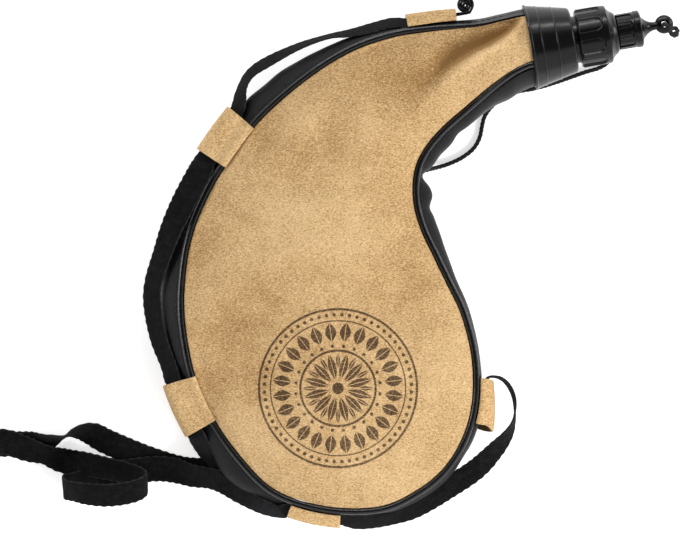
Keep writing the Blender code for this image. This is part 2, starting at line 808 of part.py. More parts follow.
def make_clamp():
    start, end = TUCK / 8, TUCK * 0.65
    outer, inner = LEATHER + 2 * CLEARANCE, STACK
    profile = [
        (end, neck_radius_at(end) - inner),
        (end, neck_radius_at(end) - outer),
        (start, neck_radius_at(start) - outer),
        (start, neck_radius_at(start) - inner),
    ]
    turned("bladder_clamp", profile, parts, steel)


FILLER_FACE = TUBE_END + GASKET_THICKNESS + 2 * CLEARANCE  # the filler cap's inner face
FILLER_TOP = FILLER_FACE + FILLER_TOP_WALL
SHOULDER_TOP = FILLER_TOP + SHOULDER_LENGTH
NOZZLE_TIP = SHOULDER_TOP + NOZZLE_LENGTH
CAP_START = SHOULDER_TOP + CLEARANCE
CAP_TOP = CAP_START + CAP_LENGTH
CAP_FACE = NOZZLE_TIP + SEAL_THICKNESS + 2 * CLEARANCE
BALL_CENTRE = CAP_TOP + FINIAL_LENGTH + BALL_RADIUS * 0.75


def make_gasket():
    inner, outer = TUBE_BORE, TUBE_RADIUS
    profile = [
        (TUBE_END + CLEARANCE + GASKET_THICKNESS, inner),
        (TUBE_END + CLEARANCE + GASKET_THICKNESS, outer),
        (TUBE_END + CLEARANCE, outer),
        (TUBE_END + CLEARANCE, inner),
    ]
    turned("filler_gasket", profile, parts, rubber)


def make_filler_cap():
    """The big screw cap with its finger recesses, shoulder and threaded nozzle, all one moulding."""
    bore = TUBE_RADIUS + THREAD_ROOM
    tip = NOZZLE_RADIUS - NOZZLE_BORE
    profile = [
        (NOZZLE_TIP, DRINK_HOLE),
        (NOZZLE_TIP, NOZZLE_BORE + DRINK_HOLE / 2),
        (NOZZLE_TIP - tip / 2, NOZZLE_RADIUS - tip / 4),
        (NOZZLE_TIP - tip, NOZZLE_RADIUS),
        (SHOULDER_TOP, NOZZLE_RADIUS),
        (SHOULDER_TOP, SHOULDER_RADIUS - FILLER_EDGE),
        (SHOULDER_TOP - FILLER_EDGE, SHOULDER_RADIUS),
        (FILLER_TOP + SHOULDER_LENGTH * 0.4, mix(SHOULDER_RADIUS, FILLER_RADIUS, 0.22)),
        (FILLER_TOP, mix(SHOULDER_RADIUS, FILLER_RADIUS, 0.66)),
        (FILLER_TOP - FILLER_EDGE * 0.4, FILLER_RADIUS - FILLER_EDGE * 0.4),
        (FILLER_TOP - 1.6 * FILLER_EDGE, FILLER_RADIUS),
        (FILLER_START + FILLER_EDGE, FILLER_RADIUS),
        (FILLER_START, FILLER_RADIUS - FILLER_EDGE),
        (FILLER_START, bore),
        (FILLER_FACE, bore),
        (FILLER_FACE, 2 * NOZZLE_BORE),
        (SHOULDER_TOP, NOZZLE_BORE),
        (NOZZLE_TIP - tip / 2, NOZZLE_BORE),
        (NOZZLE_TIP - tip / 4, DRINK_HOLE),
    ]
    cap = turned("filler_cap", profile, parts, black_plastic)
    cutter = recess_ring(
        "filler_recesses",
        FILLER_RECESSES,
        FILLER_RECESS_WIDTH,
        FILLER_START,
        FILLER_RECESS_LENGTH,
        FILLER_RADIUS - FILLER_RECESS_DEPTH,
        FILLER_RADIUS,
    )
    add_boolean(cap, cutter, "DIFFERENCE")


def make_cap_seal():
    radius = NOZZLE_RADIUS
    start = NOZZLE_TIP + CLEARANCE
    profile = [
        (start + SEAL_THICKNESS, 0.0),
        (start + SEAL_THICKNESS, radius),
        (start, radius),
        (start, 0.0),
    ]
    turned("cap_seal", profile, parts, rubber)


def make_spout_cap():
    """The small cap over the nozzle, with its flared finial and the eyelet that the tether ties to."""
    bore = NOZZLE_RADIUS + THREAD_ROOM
    flange = CAP_RADIUS + CAP_FLANGE_PROUD
    edge = CAP_FLANGE_LENGTH / 4
    flare = [
        (CAP_TOP + FINIAL_LENGTH * share, mix(FINIAL_NECK, FINIAL_BASE, (1 - share) ** 2.6))
        for share in (1.0, 0.75, 0.5, 0.25, 0.0)
    ]
    profile = [
        (BALL_CENTRE - BALL_RADIUS / 3, 0.0),
        (BALL_CENTRE - BALL_RADIUS / 3, FINIAL_NECK),
        *flare,
        (CAP_TOP - edge / 3, flange - edge),
        (CAP_TOP - edge, flange),
        (CAP_TOP - CAP_FLANGE_LENGTH, flange),
        (CAP_TOP - CAP_FLANGE_LENGTH - CAP_FLANGE_PROUD, CAP_RADIUS),
        (CAP_START + edge / 2, CAP_RADIUS),
        (CAP_START, CAP_RADIUS - edge / 2),
        (CAP_START, bore),
        (CAP_FACE, bore),
        (CAP_FACE, 0.0),
    ]
    cap = turned("spout_cap", profile, parts, black_plastic)
    cutter = recess_ring(
        "cap_recesses",
        CAP_RECESSES,
        CAP_RECESS_WIDTH,
        CAP_START,
        CAP_RECESS_LENGTH,
        CAP_RADIUS - CAP_RECESS_DEPTH,
        CAP_RADIUS,
    )
    add_boolean(cap, cutter, "DIFFERENCE")
    bpy.ops.mesh.primitive_uv_sphere_add(segments=16, ring_count=10, radius=BALL_RADIUS)
    ball = bpy.context.active_object
    ball.name = "eyelet_ball"
    ball.data.transform(Matrix.Diagonal((1, 1, BALL_THICKNESS / 2 / BALL_RADIUS, 1)))
    ball.location = ball_centre()
    bpy.ops.mesh.primitive_cylinder_add(vertices=14, radius=EYE_RADIUS, depth=2 * BALL_THICKNESS)
    hole = bpy.context.active_object
    hole.name = "eyelet_hole"
    hole.location = ball_centre()
    for helper in (ball, hole):
        for owner in list(helper.users_collection):
            owner.objects.unlink(helper)
        cutters.objects.link(helper)
        hidden_helper(helper)
    add_boolean(cap, ball, "UNION")
    add_boolean(cap, hole, "DIFFERENCE")


def ball_centre():
    return Vector((NECK_CENTRE[0] + BALL_CENTRE, NECK_CENTRE[1], AXIS_HEIGHT))


# Tether


def make_tether_knot():
    """The cord's knotted end over the eyelet, its pass through the eye and the bend towards the bag."""
    top = BALL_THICKNESS / 2 + CLEARANCE + TETHER_RADIUS
    side = BALL_RADIUS
    below = Vector(TETHER_LEAD_ROUTE[0]) - ball_centre()
    tail = Vector((below.x + 1.5 * CLEARANCE, 0.0, below.z))
    places = (
        (Vector((0.62 * side, -1.00 * side, top + 0.10 * side)), 0.40),
        (Vector((0.56 * side, -0.94 * side, top + 0.06 * side)), 1.30),
        (Vector((0.48 * side, -0.82 * side, top + 0.04 * side)), KNOT_RADIUS / TETHER_RADIUS),
        (Vector((0.38 * side, -0.62 * side, top + 0.04 * side)), 1.70),
        (Vector((0.26 * side, -0.42 * side, top + 0.10 * side)), 1.00),
        (Vector((0.10 * side, -0.14 * side, top + 0.10 * side)), 1.00),
        (Vector((0.0, 0.0, top - 0.16 * side)), 1.00),
        (Vector((0.0, 0.0, -top)), 1.00),
        (Vector((tail.x * 0.08, 0.0, mix(-top, tail.z, 0.55))), 1.00),
        (Vector((tail.x * 0.32, 0.0, mix(-top, tail.z, 0.90))), 1.00),
        (Vector((tail.x * 0.62, 0.0, tail.z)), 1.00),
        (tail, 1.00),
    )
    rows = smooth_rows([(*point, radius) for point, radius in places], 2)
    points = [ball_centre() + Vector(row[:3]) for row in rows]
    tube("tether_knot", points, TETHER_RADIUS, parts, cord_finish, 2, [row[3] for row in rows])


def make_tether():
    for name, route in (("tether_lead", TETHER_LEAD_ROUTE), ("tether_cord", TETHER_CORD_ROUTE)):
        line = smooth_rows(route, 8)
        places = lengths_along(line)
        count = max(int(places[-1] / (4 * TETHER_RADIUS)), 4)
        points = rows_at(line, places, np.linspace(0, places[-1], count + 1))
        tube(name, points, TETHER_RADIUS, parts, cord_finish)
        print(f"{name}: {places[-1] * 1000:.0f} mm long")


# Keepers


def keeper_half():
    return KEEPER_WIDTH / 2 / dense_lengths[-1]


def keeper_reach(over_piping):
    return LONG_KEEPER_REACH if over_piping else SHORT_KEEPER_REACH


def keeper_section(station, over_piping):
    """Inner face of a keeper: from the front piping round the strap to the back piping."""
    wide = keeper_reach(over_piping) - KEEPER_LEATHER
    middle = station.middle_height()
    rise = STRAP_WIDTH / 2 + 2 * CLEARANCE
    edge = PIPING_RADIUS + CLEARANCE
    around = PIPING_RADIUS + 2 * CLEARANCE
    upper = [
        (wide - 3 * STRAP_THICKNESS, rise + 2 * STRAP_THICKNESS),
        (wide - STRAP_THICKNESS / 2, rise + STRAP_THICKNESS / 2),
        (wide, 0.55 * rise),
    ]
    lower = [(outwards, -height) for outwards, height in upper[::-1]]
    if over_piping:
        angles = [math.radians(angle) for angle in (135, 90, 45, 0)]
        start = [(edge + around * math.cos(a), around * math.sin(a) - LEATHER / 2) for a in angles]
    else:
        start = [(2 * edge + 2 * CLEARANCE, -LEATHER)]
    front = [station.beside(a, station.front_height + z) for a, z in start]
    sides = [station.beside(a, middle + z) for a, z in upper + lower]
    back = [station.beside(a, station.back_height - z, back=True) for a, z in start[::-1]]
    return front[:-1] + [Vector(row) for row in smooth_rows([front[-1], *sides], 2)] + back


def make_keepers():
    for name, (middle, over_piping) in KEEPER_SHARES.items():
        places = np.linspace(middle - keeper_half(), middle + keeper_half(), 4)
        rows = [keeper_section(Station(place), over_piping) for place in places]
        add_solidify(surface(name, rows, parts, suede), KEEPER_LEATHER, 1.0)


# Strap


def flat_share_point(x, y, height):
    plan = plan_point(x, y)
    return Vector((plan[0], plan[1], height * BELLY_TOP))


def free_stretch(shares):
    return [(flat_share_point(x, y, height), turn) for x, y, height, turn in shares]


def through_keeper(name, ahead=(-1.0, 0.0, 1.0)):
    """Strap places inside one keeper, on edge halfway between the gusset and the keeper."""
    middle, over_piping = KEEPER_SHARES[name]
    found = []
    for offset in ahead:
        station = Station(middle + offset * keeper_half())
        wide = keeper_reach(over_piping) - KEEPER_LEATHER
        outwards = mix(wide, max(station.reach, 2 * (PIPING_RADIUS + CLEARANCE)), 0.55)
        outwards = max(outwards, wide - 2 * STRAP_THICKNESS)
        found.append((station.beside(outwards, station.middle_height()), 1.0))
    return found


def rolled_end():
    """The strap's end rolled up beside the top keeper, unwound into it."""
    entry, _ = through_keeper("keeper_top", (-1.0,))[0]
    centre = entry + Vector((1.35, 1.15, 0.0)) * STRAP_ROLL_RADIUS
    turns = 1.55
    steps = 14
    made = []
    for i in range(steps):
        share = i / (steps - 1)
        radius = mix(STRAP_ROLL_CORE, STRAP_ROLL_RADIUS, share)
        angle = -math.pi / 2 + 2 * math.pi * turns * (1 - share)
        made.append((centre + Vector((math.cos(angle), math.sin(angle), 0.0)) * radius, 1.0))
    return made


def curl():
    """The loose loop in the lower strand, which stands up and leans over."""
    across = Vector((*(plan_point(0.0, 1.0) / BAG_LENGTH), 0.0))
    made = []
    for x, y, height, lean in CURL_SHARES:
        angle = lean * math.pi / 2
        width = across * math.cos(angle) + Vector((0.0, 0.0, math.sin(angle)))
        made.append((flat_share_point(x, y, height), width))
    return made


def strap_width_direction(way, turn):
    """Across the strap: level at turn 0, upright at 1, for a strap that runs along the given way."""
    level = Vector((-way.y, way.x, 0.0)).normalized()
    angle = turn * math.pi / 2
    direction = level * math.cos(angle) + Vector((0, 0, 1)) * math.sin(angle)
    return (direction - way * direction.dot(way)).normalized()


def strap_fold():
    """The strap's far end, turned over itself."""
    lead = flat_share_point(*FOLD_SHARES[-1][:3])
    away = Vector((*(plan_point(-1.0, 0.0) / BAG_LENGTH), 0.0))
    across = Vector((*(plan_point(0.0, 1.0) / BAG_LENGTH), 0.0))
    size = STRAP_THICKNESS * 3
    places = ((1.8, 0.15), (2.9, 0.65), (3.3, 1.35), (2.8, 1.95), (1.5, 1.95))
    return [(lead + away * size * out + Vector((0, 0, size * up)), across) for out, up in places]


def strap_route():
    """Every place of the strap with its turn or its width direction, and where its pieces part."""
    route = rolled_end()
    route += through_keeper("keeper_top")[1:]
    route += free_stretch(TOP_STRETCH_SHARES)
    route += through_keeper("keeper_upper_left")
    route += free_stretch(LEFT_STRETCH_SHARES)
    route += through_keeper("keeper_lower_left")
    parted = [len(route)]
    route += free_stretch(UPPER_STRAND_SHARES)
    parted.append(len(route) - 1)
    route += free_stretch(FOLD_SHARES) + strap_fold() + free_stretch(FOLD_RETURN_SHARES)
    parted.append(len(route) - 1)
    route += free_stretch(CURL_START_SHARES) + curl() + free_stretch(LOWER_STRAND_SHARES[:2])
    parted.append(len(route) - 1)
    route += free_stretch(LOWER_STRAND_SHARES[2:])
    route += through_keeper("keeper_bottom")
    route += free_stretch(RIGHT_STRETCH_SHARES)
    route += through_keeper("keeper_right", (1.25, 0.5, -0.3))
    return route, parted


STRAP_NAMES = ("strap_upper_run", "strap_upper_strand", "strap_fold", "strap_lower_strand", "strap_lower_run")


def make_strap():
    route, parted = strap_route()
    centres = np.array([place for place, _ in route])
    ways = np.gradient(centres, axis=0)
    widths = []
    for (_, turn), way in zip(route, ways):
        way = Vector(way).normalized()
        if isinstance(turn, Vector):
            across = (turn - way * turn.dot(way)).normalized()
        else:
            across = strap_width_direction(way, turn)
        if widths and across.dot(widths[-1]) < 0:
            across = -across
        widths.append(across)
    steps = 2
    line = smooth_rows(np.hstack([centres, np.array(widths)]), steps)
    lengths = lengths_along(line[:, :3])
    print(f"strap: {lengths[-1] * 1000:.0f} mm long")
    bounds = [0] + [index * steps for index in parted] + [len(line) - 1]
    for name, first, last in zip(STRAP_NAMES, bounds, bounds[1:]):
        low = lengths[first] + (CLEARANCE if first else 0.0)
        high = lengths[last] - (CLEARANCE if last < len(line) - 1 else 0.0)
        inner = lengths[(lengths > low + CLEARANCE) & (lengths < high - CLEARANCE)]
        rows = rows_at(line, lengths, [low, *inner, high])
        ribbon(
            name,
            [Vector(row[:3]) for row in rows],
            [Vector(row[3:]).normalized() for row in rows],
            parts,
            webbing,
        )


clear_scene()
parts = new_collection("bota_bag")
cutters = new_collection("cutters")

suede = material("tan suede", (0.62, 0.42, 0.21), 0.95)
leatherette = material("black leatherette", (0.018, 0.018, 0.020), 0.42)
piping_finish = material("black piping", (0.014, 0.014, 0.016), 0.35)
latex = material("black latex", (0.03, 0.03, 0.03), 0.6)
black_plastic = material("black plastic", (0.015, 0.015, 0.016), 0.22)
rubber = material("black rubber", (0.02, 0.02, 0.02), 0.7)
steel = material("steel band", (0.6, 0.6, 0.6), 0.35, 1.0)
webbing = material("black cotton webbing", (0.010, 0.010, 0.011), 0.9)
cord_finish = material("black cord", (0.010, 0.010, 0.011), 0.8)

# The mouthpiece's axis: its local Z runs along X from the collar's rim
mouth_axis = bpy.data.objects.new("mouth_axis", None)
parts.objects.link(mouth_axis)
mouth_axis.location = (NECK_CENTRE[0], NECK_CENTRE[1], AXIS_HEIGHT)
mouth_axis.rotation_euler = (0.0, math.pi / 2, 0.0)

make_bag()
make_bladder()
make_collar()
make_neck_tube()
make_clamp()
make_gasket()
make_filler_cap()
make_cap_seal()
make_spout_cap()
make_tether_knot()
make_tether()
make_keepers()
make_strap()
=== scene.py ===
"""Looks of a curved leather bota bag, laid over its fixed model.

Metres, +Z up, in the fixed model's own frame: the bag lies on its back panel, and +X runs along the
mouthpiece from the bag to the tip of its cap.
"""

import math

import bmesh
import bpy
import numpy as np
from bpy.props import FloatProperty, FloatVectorProperty, IntProperty, PointerProperty
from mathutils import Matrix, Vector, noise


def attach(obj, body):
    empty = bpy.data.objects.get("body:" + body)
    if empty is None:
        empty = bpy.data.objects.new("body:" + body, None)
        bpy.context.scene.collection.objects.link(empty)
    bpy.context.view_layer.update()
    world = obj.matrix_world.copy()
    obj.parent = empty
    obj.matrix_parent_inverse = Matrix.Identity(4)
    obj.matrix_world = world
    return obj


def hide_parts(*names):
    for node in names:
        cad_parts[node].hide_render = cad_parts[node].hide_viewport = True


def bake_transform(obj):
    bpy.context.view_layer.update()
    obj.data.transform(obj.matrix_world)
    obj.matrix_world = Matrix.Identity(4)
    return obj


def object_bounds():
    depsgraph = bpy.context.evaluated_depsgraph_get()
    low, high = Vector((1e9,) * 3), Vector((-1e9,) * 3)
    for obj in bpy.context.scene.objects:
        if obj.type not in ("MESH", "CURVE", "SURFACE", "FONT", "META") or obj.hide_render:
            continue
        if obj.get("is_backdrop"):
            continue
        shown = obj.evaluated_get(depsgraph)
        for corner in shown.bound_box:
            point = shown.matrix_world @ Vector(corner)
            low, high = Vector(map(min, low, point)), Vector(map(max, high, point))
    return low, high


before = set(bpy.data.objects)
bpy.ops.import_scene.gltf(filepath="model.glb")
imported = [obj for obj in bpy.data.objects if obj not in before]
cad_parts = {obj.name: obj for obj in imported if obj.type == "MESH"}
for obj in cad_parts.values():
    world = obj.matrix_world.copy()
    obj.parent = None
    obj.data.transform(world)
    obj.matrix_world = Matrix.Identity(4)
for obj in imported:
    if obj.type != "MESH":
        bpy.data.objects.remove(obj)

CAD_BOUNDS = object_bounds()

bl_info = {
    "name": "Leather bota bag",
    "version": (1, 0, 0),
    "blender": (4, 5, 0),
    "location": "3D View > Sidebar > Bota Bag",
    "description": "Builds a suede bota bag with its gusset, mouthpiece, tether and strap",
    "category": "Object",
}

MM = 0.001
MERGE = 1e-6
TINY = 1e-9

# Shapes that the fixed model has too

# The front seam from the neck's long side round the belly to its short side:
# x, y, place along the spine, and how far the gusset stands out
SEAM_SHARES = (
    (0.372, 0.606, 0.00, 0.42),
    (0.330, 0.596, 0.06, 0.44),
    (0.284, 0.586, 0.12, 0.44),
    (0.198, 0.578, 0.22, 0.46),
    (0.110, 0.564, 0.31, 0.54),
    (0.024, 0.532, 0.40, 0.67),
    (-0.062, 0.476, 0.50, 0.75),
    (-0.150, 0.398, 0.60, 0.83),
    (-0.214, 0.314, 0.69, 0.92),
    (-0.248, 0.258, 0.75, 0.96),
    (-0.276, 0.196, 0.81, 1.00),
    (-0.292, 0.140, 0.87, 1.00),
    (-0.300, 0.080, 0.93, 1.00),
    (-0.302, 0.020, 1.00, 1.00),
    (-0.294, -0.050, 1.00, 1.00),
    (-0.276, -0.124, 1.00, 0.96),
    (-0.236, -0.208, 1.00, 0.88),
    (-0.180, -0.284, 1.00, 0.79),
    (-0.126, -0.336, 1.00, 0.71),
    (-0.060, -0.364, 1.00, 0.58),
    (0.020, -0.377, 1.00, 0.46),
    (0.100, -0.371, 1.00, 0.38),
    (0.168, -0.338, 1.00, 0.33),
    (0.216, -0.298, 1.00, 0.31),
    (0.250, -0.246, 1.00, 0.30),
    (0.270, -0.188, 1.00, 0.30),
    (0.276, -0.124, 1.00, 0.30),
    (0.270, -0.056, 1.00, 0.32),
    (0.250, 0.016, 0.93, 0.38),
    (0.224, 0.070, 0.84, 0.46),
    (0.198, 0.124, 0.75, 0.58),
    (0.170, 0.184, 0.66, 0.71),
    (0.156, 0.240, 0.58, 0.79),
    (0.158, 0.296, 0.50, 0.63),
    (0.176, 0.340, 0.43, 0.54),
    (0.212, 0.384, 0.36, 0.54),
    (0.262, 0.428, 0.26, 0.63),
    (0.310, 0.468, 0.16, 0.75),
    (0.356, 0.500, 0.06, 0.88),
    (0.390, 0.516, 0.00, 0.96),
)
# The middle line of the bag, from the collar's rim to the middle of the belly
SPINE_SHARES = (
    (0.390, 0.547),
    (0.310, 0.532),
    (0.230, 0.504),
    (0.146, 0.456),
    (0.074, 0.390),
    (0.020, 0.310),
    (-0.014, 0.220),
    (-0.030, 0.130),
    (-0.026, 0.040),
    (-0.014, -0.050),
)
NECK_SPINE_SHARES = (0.03, 0.30)  # of the spine: the neck is round up to the first, gone at the second
FLAT_SHARE = 0.70  # of the back panel's half width that lies flat
BESIDE_SHARE = 0.004  # of the seam, to either side, over which its direction is measured
BACK_SEAM_ANGLE = math.radians(140)  # round the neck, from its top

# Middle of each keeper along the seam, and whether it starts over the piping
KEEPER_SHARES = {
    "keeper_top": (0.065, False),
    "keeper_upper_left": (0.236, True),
    "keeper_lower_left": (0.431, True),
    "keeper_bottom": (0.549, False),
    "keeper_right": (0.703, False),
}
# Free stretches of the strap, which in places lie nearer to the bag than the fixed model's: x, y,
# height as a share of the belly's, and turn, where 0 lies flat and 1 stands on edge with the edge on
# the left-hand side of the way it runs up
TOP_STRETCH_SHARES = (
    (0.112, 0.597, 0.50, 0.72),
    (0.070, 0.586, 0.50, 0.72),
    (0.030, 0.577, 0.48, 0.78),
    (-0.014, 0.570, 0.46, 0.86),
    (-0.074, 0.550, 0.46, 0.80),
    (-0.138, 0.518, 0.46, 0.70),
    (-0.172, 0.494, 0.46, 0.74),
    (-0.189, 0.462, 0.47, 0.74),
)
LEFT_STRETCH_SHARES = (
    (-0.272, 0.296, 0.74, 0.20),
    (-0.301, 0.240, 0.78, 0.16),
    (-0.328, 0.184, 0.70, 0.32),
    (-0.348, 0.130, 0.60, 0.45),
    (-0.366, 0.074, 0.50, 0.50),
    (-0.368, 0.030, 0.48, 0.48),
    (-0.356, -0.036, 0.50, 0.52),
    (-0.336, -0.090, 0.52, 0.56),
)
UPPER_STRAND_SHARES = (
    (-0.270, -0.256, 0.396, 0.62),
    (-0.252, -0.286, 0.250, 0.60),
    (-0.254, -0.305, 0.146, 0.44),
    (-0.278, -0.306, 0.076, 0.20),
    (-0.300, -0.306, 0.050, 0.10),
    (-0.330, -0.300, 0.017, 0.00),
    (-0.380, -0.284, 0.017, 0.00),
    (-0.430, -0.264, 0.017, 0.00),
    (-0.470, -0.246, 0.034, -0.05),
    (-0.490, -0.234, 0.073, -0.20),
    (-0.510, -0.228, 0.138, -0.50),
    (-0.530, -0.230, 0.177, -0.75),
    (-0.546, -0.237, 0.188, -0.95),
    (-0.566, -0.242, 0.177, -0.75),
    (-0.586, -0.248, 0.138, -0.50),
    (-0.610, -0.252, 0.073, -0.20),
    (-0.640, -0.254, 0.021, 0.00),
    (-0.670, -0.254, 0.017, 0.00),
)
FOLD_SHARES = (
    (-0.705, -0.256, 0.017, 0.00),
    (-0.740, -0.258, 0.017, 0.00),
    (-0.775, -0.260, 0.019, 0.00),
)
FOLD_RETURN_SHARES = (
    (-0.775, -0.260, 0.130, 0.00),
    (-0.740, -0.258, 0.078, 0.00),
    (-0.705, -0.252, 0.064, 0.00),
    (-0.670, -0.249, 0.071, 0.00),
)
CURL_START_SHARES = (
    (-0.630, -0.262, 0.104, 0.10),
    (-0.586, -0.275, 0.150, 0.40),
)
# Here the last number is the lean of the loop's upright edge, as a share of a quarter turn
CURL_SHARES = (
    (-0.546, -0.289, 0.042, 0.06),
    (-0.510, -0.294, 0.063, 0.11),
    (-0.470, -0.301, 0.135, 0.24),
    (-0.426, -0.310, 0.198, 0.31),
    (-0.394, -0.320, 0.271, 0.31),
    (-0.380, -0.331, 0.375, 0.28),
    (-0.394, -0.342, 0.500, 0.28),
    (-0.426, -0.350, 0.583, 0.28),
    (-0.464, -0.353, 0.604, 0.28),
    (-0.502, -0.350, 0.583, 0.32),
    (-0.533, -0.345, 0.490, 0.44),
    (-0.548, -0.339, 0.340, 0.48),
    (-0.539, -0.336, 0.180, 0.26),
    (-0.514, -0.332, 0.042, 0.04),
    (-0.470, -0.320, 0.040, 0.00),
    (-0.420, -0.310, 0.064, 0.00),
)
LOWER_STRAND_SHARES = (
    (-0.380, -0.305, 0.060, 0.00),
    (-0.350, -0.304, 0.067, 0.00),
    (-0.320, -0.308, 0.140, 0.12),
    (-0.290, -0.316, 0.260, 0.30),
    (-0.258, -0.320, 0.350, 0.38),
    (-0.226, -0.329, 0.400, 0.32),
    (-0.190, -0.352, 0.440, 0.44),
    (-0.146, -0.378, 0.48, 0.62),
    (-0.112, -0.387, 0.50, 0.66),
)
RIGHT_STRETCH_SHARES = (
    (0.044, -0.408, 0.53, 0.62),
    (0.080, -0.406, 0.52, 0.62),
    (0.120, -0.396, 0.50, 0.55),
    (0.164, -0.379, 0.47, 0.42),
    (0.224, -0.342, 0.44, 0.32),
    (0.284, -0.302, 0.43, 0.34),
    (0.324, -0.262, 0.44, 0.50),
    (0.348, -0.232, 0.45, 0.70),
    (0.360, -0.204, 0.46, 0.90),
    (0.3625, -0.180, 0.46, 1.00),
    (0.361, -0.160, 0.46, 1.05),
    (0.355, -0.142, 0.46, 1.07),
    (0.345, -0.127, 0.46, 1.07),
    (0.333, -0.118, 0.46, 1.06),
    (0.320, -0.1150, 0.46, 1.04),
    (0.309, -0.1165, 0.46, 1.00),
)
STRAP_PIECES = (
    "strap_upper_run", "strap_upper_strand", "strap_fold", "strap_lower_strand", "strap_lower_run"
)

# The tether's route, from the knot at the cap to the back seam inside the bend, in metres
TETHER_LEAD_ROUTE = (
    (0.2275, 0.1465, 0.0135),
    (0.2235, 0.1465, 0.0135),
    (0.2190, 0.1458, 0.0132),
    (0.2140, 0.1442, 0.0120),
    (0.2090, 0.1415, 0.0095),
    (0.2045, 0.1382, 0.0066),
    (0.2010, 0.1348, 0.0044),
    (0.1982, 0.1318, 0.0031),
)
TETHER_CORD_ROUTE = (
    (0.1979, 0.1314, 0.0029),
    (0.1953, 0.1292, 0.0020),
    (0.1900, 0.1274, 0.0014),
    (0.1820, 0.1265, 0.0014),
    (0.1726, 0.1249, 0.0013),
    (0.1640, 0.1235, 0.0013),
    (0.1551, 0.1223, 0.0013),
    (0.1475, 0.1217, 0.0013),
    (0.1410, 0.1217, 0.0013),
    (0.1340, 0.1214, 0.0013),
    (0.1270, 0.1192, 0.0013),
    (0.1196, 0.1148, 0.0013),
    (0.1146, 0.1098, 0.0013),
    (0.1119, 0.1040, 0.0013),
    (0.1100, 0.0988, 0.0013),
    (0.1074, 0.0944, 0.0013),
    (0.1040, 0.0909, 0.0013),
    (0.0998, 0.0883, 0.0013),
    (0.0950, 0.0862, 0.0013),
    (0.0901, 0.0848, 0.0013),
    (0.0852, 0.0838, 0.0015),
    (0.0805, 0.0832, 0.0026),
    (0.0775, 0.0829, 0.0050),
    (0.0750, 0.0827, 0.0078),
    (0.0726, 0.0825, 0.0096),
    (0.0704, 0.0823, 0.0100),
)

# Shapes of the soft parts that the fixed model leaves out

# The deep crease from the collar into the neck: x, y shares, depth in millimetres, and its width on
# the long side and on the short side
CREASE = (
    (0.374, 0.604, 0.0, 3.0, 1.6),
    (0.358, 0.588, 5.0, 4.0, 2.2),
    (0.338, 0.572, 7.6, 5.5, 3.0),
    (0.307, 0.554, 8.8, 7.5, 3.8),
    (0.270, 0.537, 8.2, 9.5, 4.4),
    (0.235, 0.515, 6.2, 11.5, 5.2),
    (0.200, 0.490, 3.8, 12.0, 7.0),
    (0.162, 0.460, 1.7, 12.0, 10.0),
    (0.124, 0.426, 0.0, 13.0, 12.0),
)
# Broad hollows and swellings of the front panel: x, y and radius shares, height in millimetres
SWELLS = (
    (-0.190, -0.030, 0.075, -3.2),
    (-0.180, -0.120, 0.060, -1.8),
    (-0.264, -0.124, 0.042, -3.4),
    (-0.275, 0.140, 0.060, -2.0),
    (-0.262, 0.010, 0.035, 1.4),
    (0.115, 0.500, 0.070, -4.4),
    (0.020, 0.480, 0.060, -1.4),
    (0.050, 0.410, 0.060, 1.6),
    (-0.060, 0.340, 0.085, -2.0),
    (-0.154, 0.354, 0.035, -2.0),
    (-0.070, 0.400, 0.045, 2.0),
    (0.000, 0.366, 0.045, -1.2),
    (0.090, 0.240, 0.060, -1.6),
    (0.130, 0.050, 0.080, -1.6),
    (0.200, -0.080, 0.070, 1.4),
    (-0.010, 0.180, 0.110, 1.6),
    (-0.200, -0.200, 0.060, 1.4),
    (0.040, -0.270, 0.090, 1.4),
)
# Folds across the gusset: x and y shares of the nearest place on the seam, width and depth in mm
GUSSET_FOLDS = (
    (0.158, 0.292, 5.0, -4.2),
    (0.172, 0.332, 7.0, 1.6),
    (0.200, 0.372, 14.0, 3.4),
    (0.250, 0.420, 10.0, 1.0),
    (0.156, 0.250, 6.0, 1.0),
    (0.160, 0.216, 5.0, -1.8),
    (0.192, -0.322, 26.0, 2.2),
    (0.262, -0.220, 26.0, 2.2),
    (-0.200, -0.306, 15.0, 4.4),
    (0.182, 0.160, 8.0, 0.6),
    (0.310, 0.468, 9.0, -1.2),
    (0.228, 0.399, 5.0, -0.9),
    (-0.140, 0.420, 12.0, 3.4),
    (-0.085, 0.462, 14.0, 3.2),
    (-0.030, 0.495, 14.0, 1.6),
    (-0.286, 0.170, 8.0, -0.8),
    (-0.280, -0.110, 8.0, -1.2),
    (-0.255, -0.170, 7.0, -0.9),
    (0.240, -0.265, 7.0, -0.6),
)
# The right keeper's gaping mouth: shares of the way round it from its front edge to its back edge,
# how much shorter it is cut at its lower and at its upper end, and how far it stands out at the lower
# end, in millimetres
KEEPER_MOUTH = (
    (0.00, 3.2, 0.0, 0.0),
    (0.12, 4.3, 0.4, 2.0),
    (0.28, 2.4, 2.2, 4.3),
    (0.50, 2.0, 2.2, 4.3),
    (0.75, 0.8, 2.0, 4.3),
    (1.00, 0.0, 0.0, 0.0),
)
# Waves in leather and suede: height and size in millimetres, and the seed of their noise
WAVES = {
    "panel swell": (0.80, 34.0, 3.0),
    "panel dent": (0.40, 15.0, 9.0),
    "seam pucker": (0.75, 11.0, 21.0),
    "back crinkle": (0.50, 13.0, 31.0),
    "gusset slack": (0.40, 21.0, 5.0),
    "gusset crinkle": (0.10, 8.0, 2.0),
    "keeper": (0.25, 10.0, 13.0),
}
COLLAR_FADE = 3.5 * MM  # within which the front panel's relief fades out beside the collar
BACK_FADE = 6 * MM  # height over which the back panel's crinkles fade in
GUSSET_DEPTH = 18 * MM  # of the gusset between its seams, as its waves count it
TUCK_SHARES = (1.0, 0.6, 0.25)  # of the tuck: where the leather inside the collar has its rows
RIM_TUCK = 0.5 * MM  # the last of those rows, just inside the rim

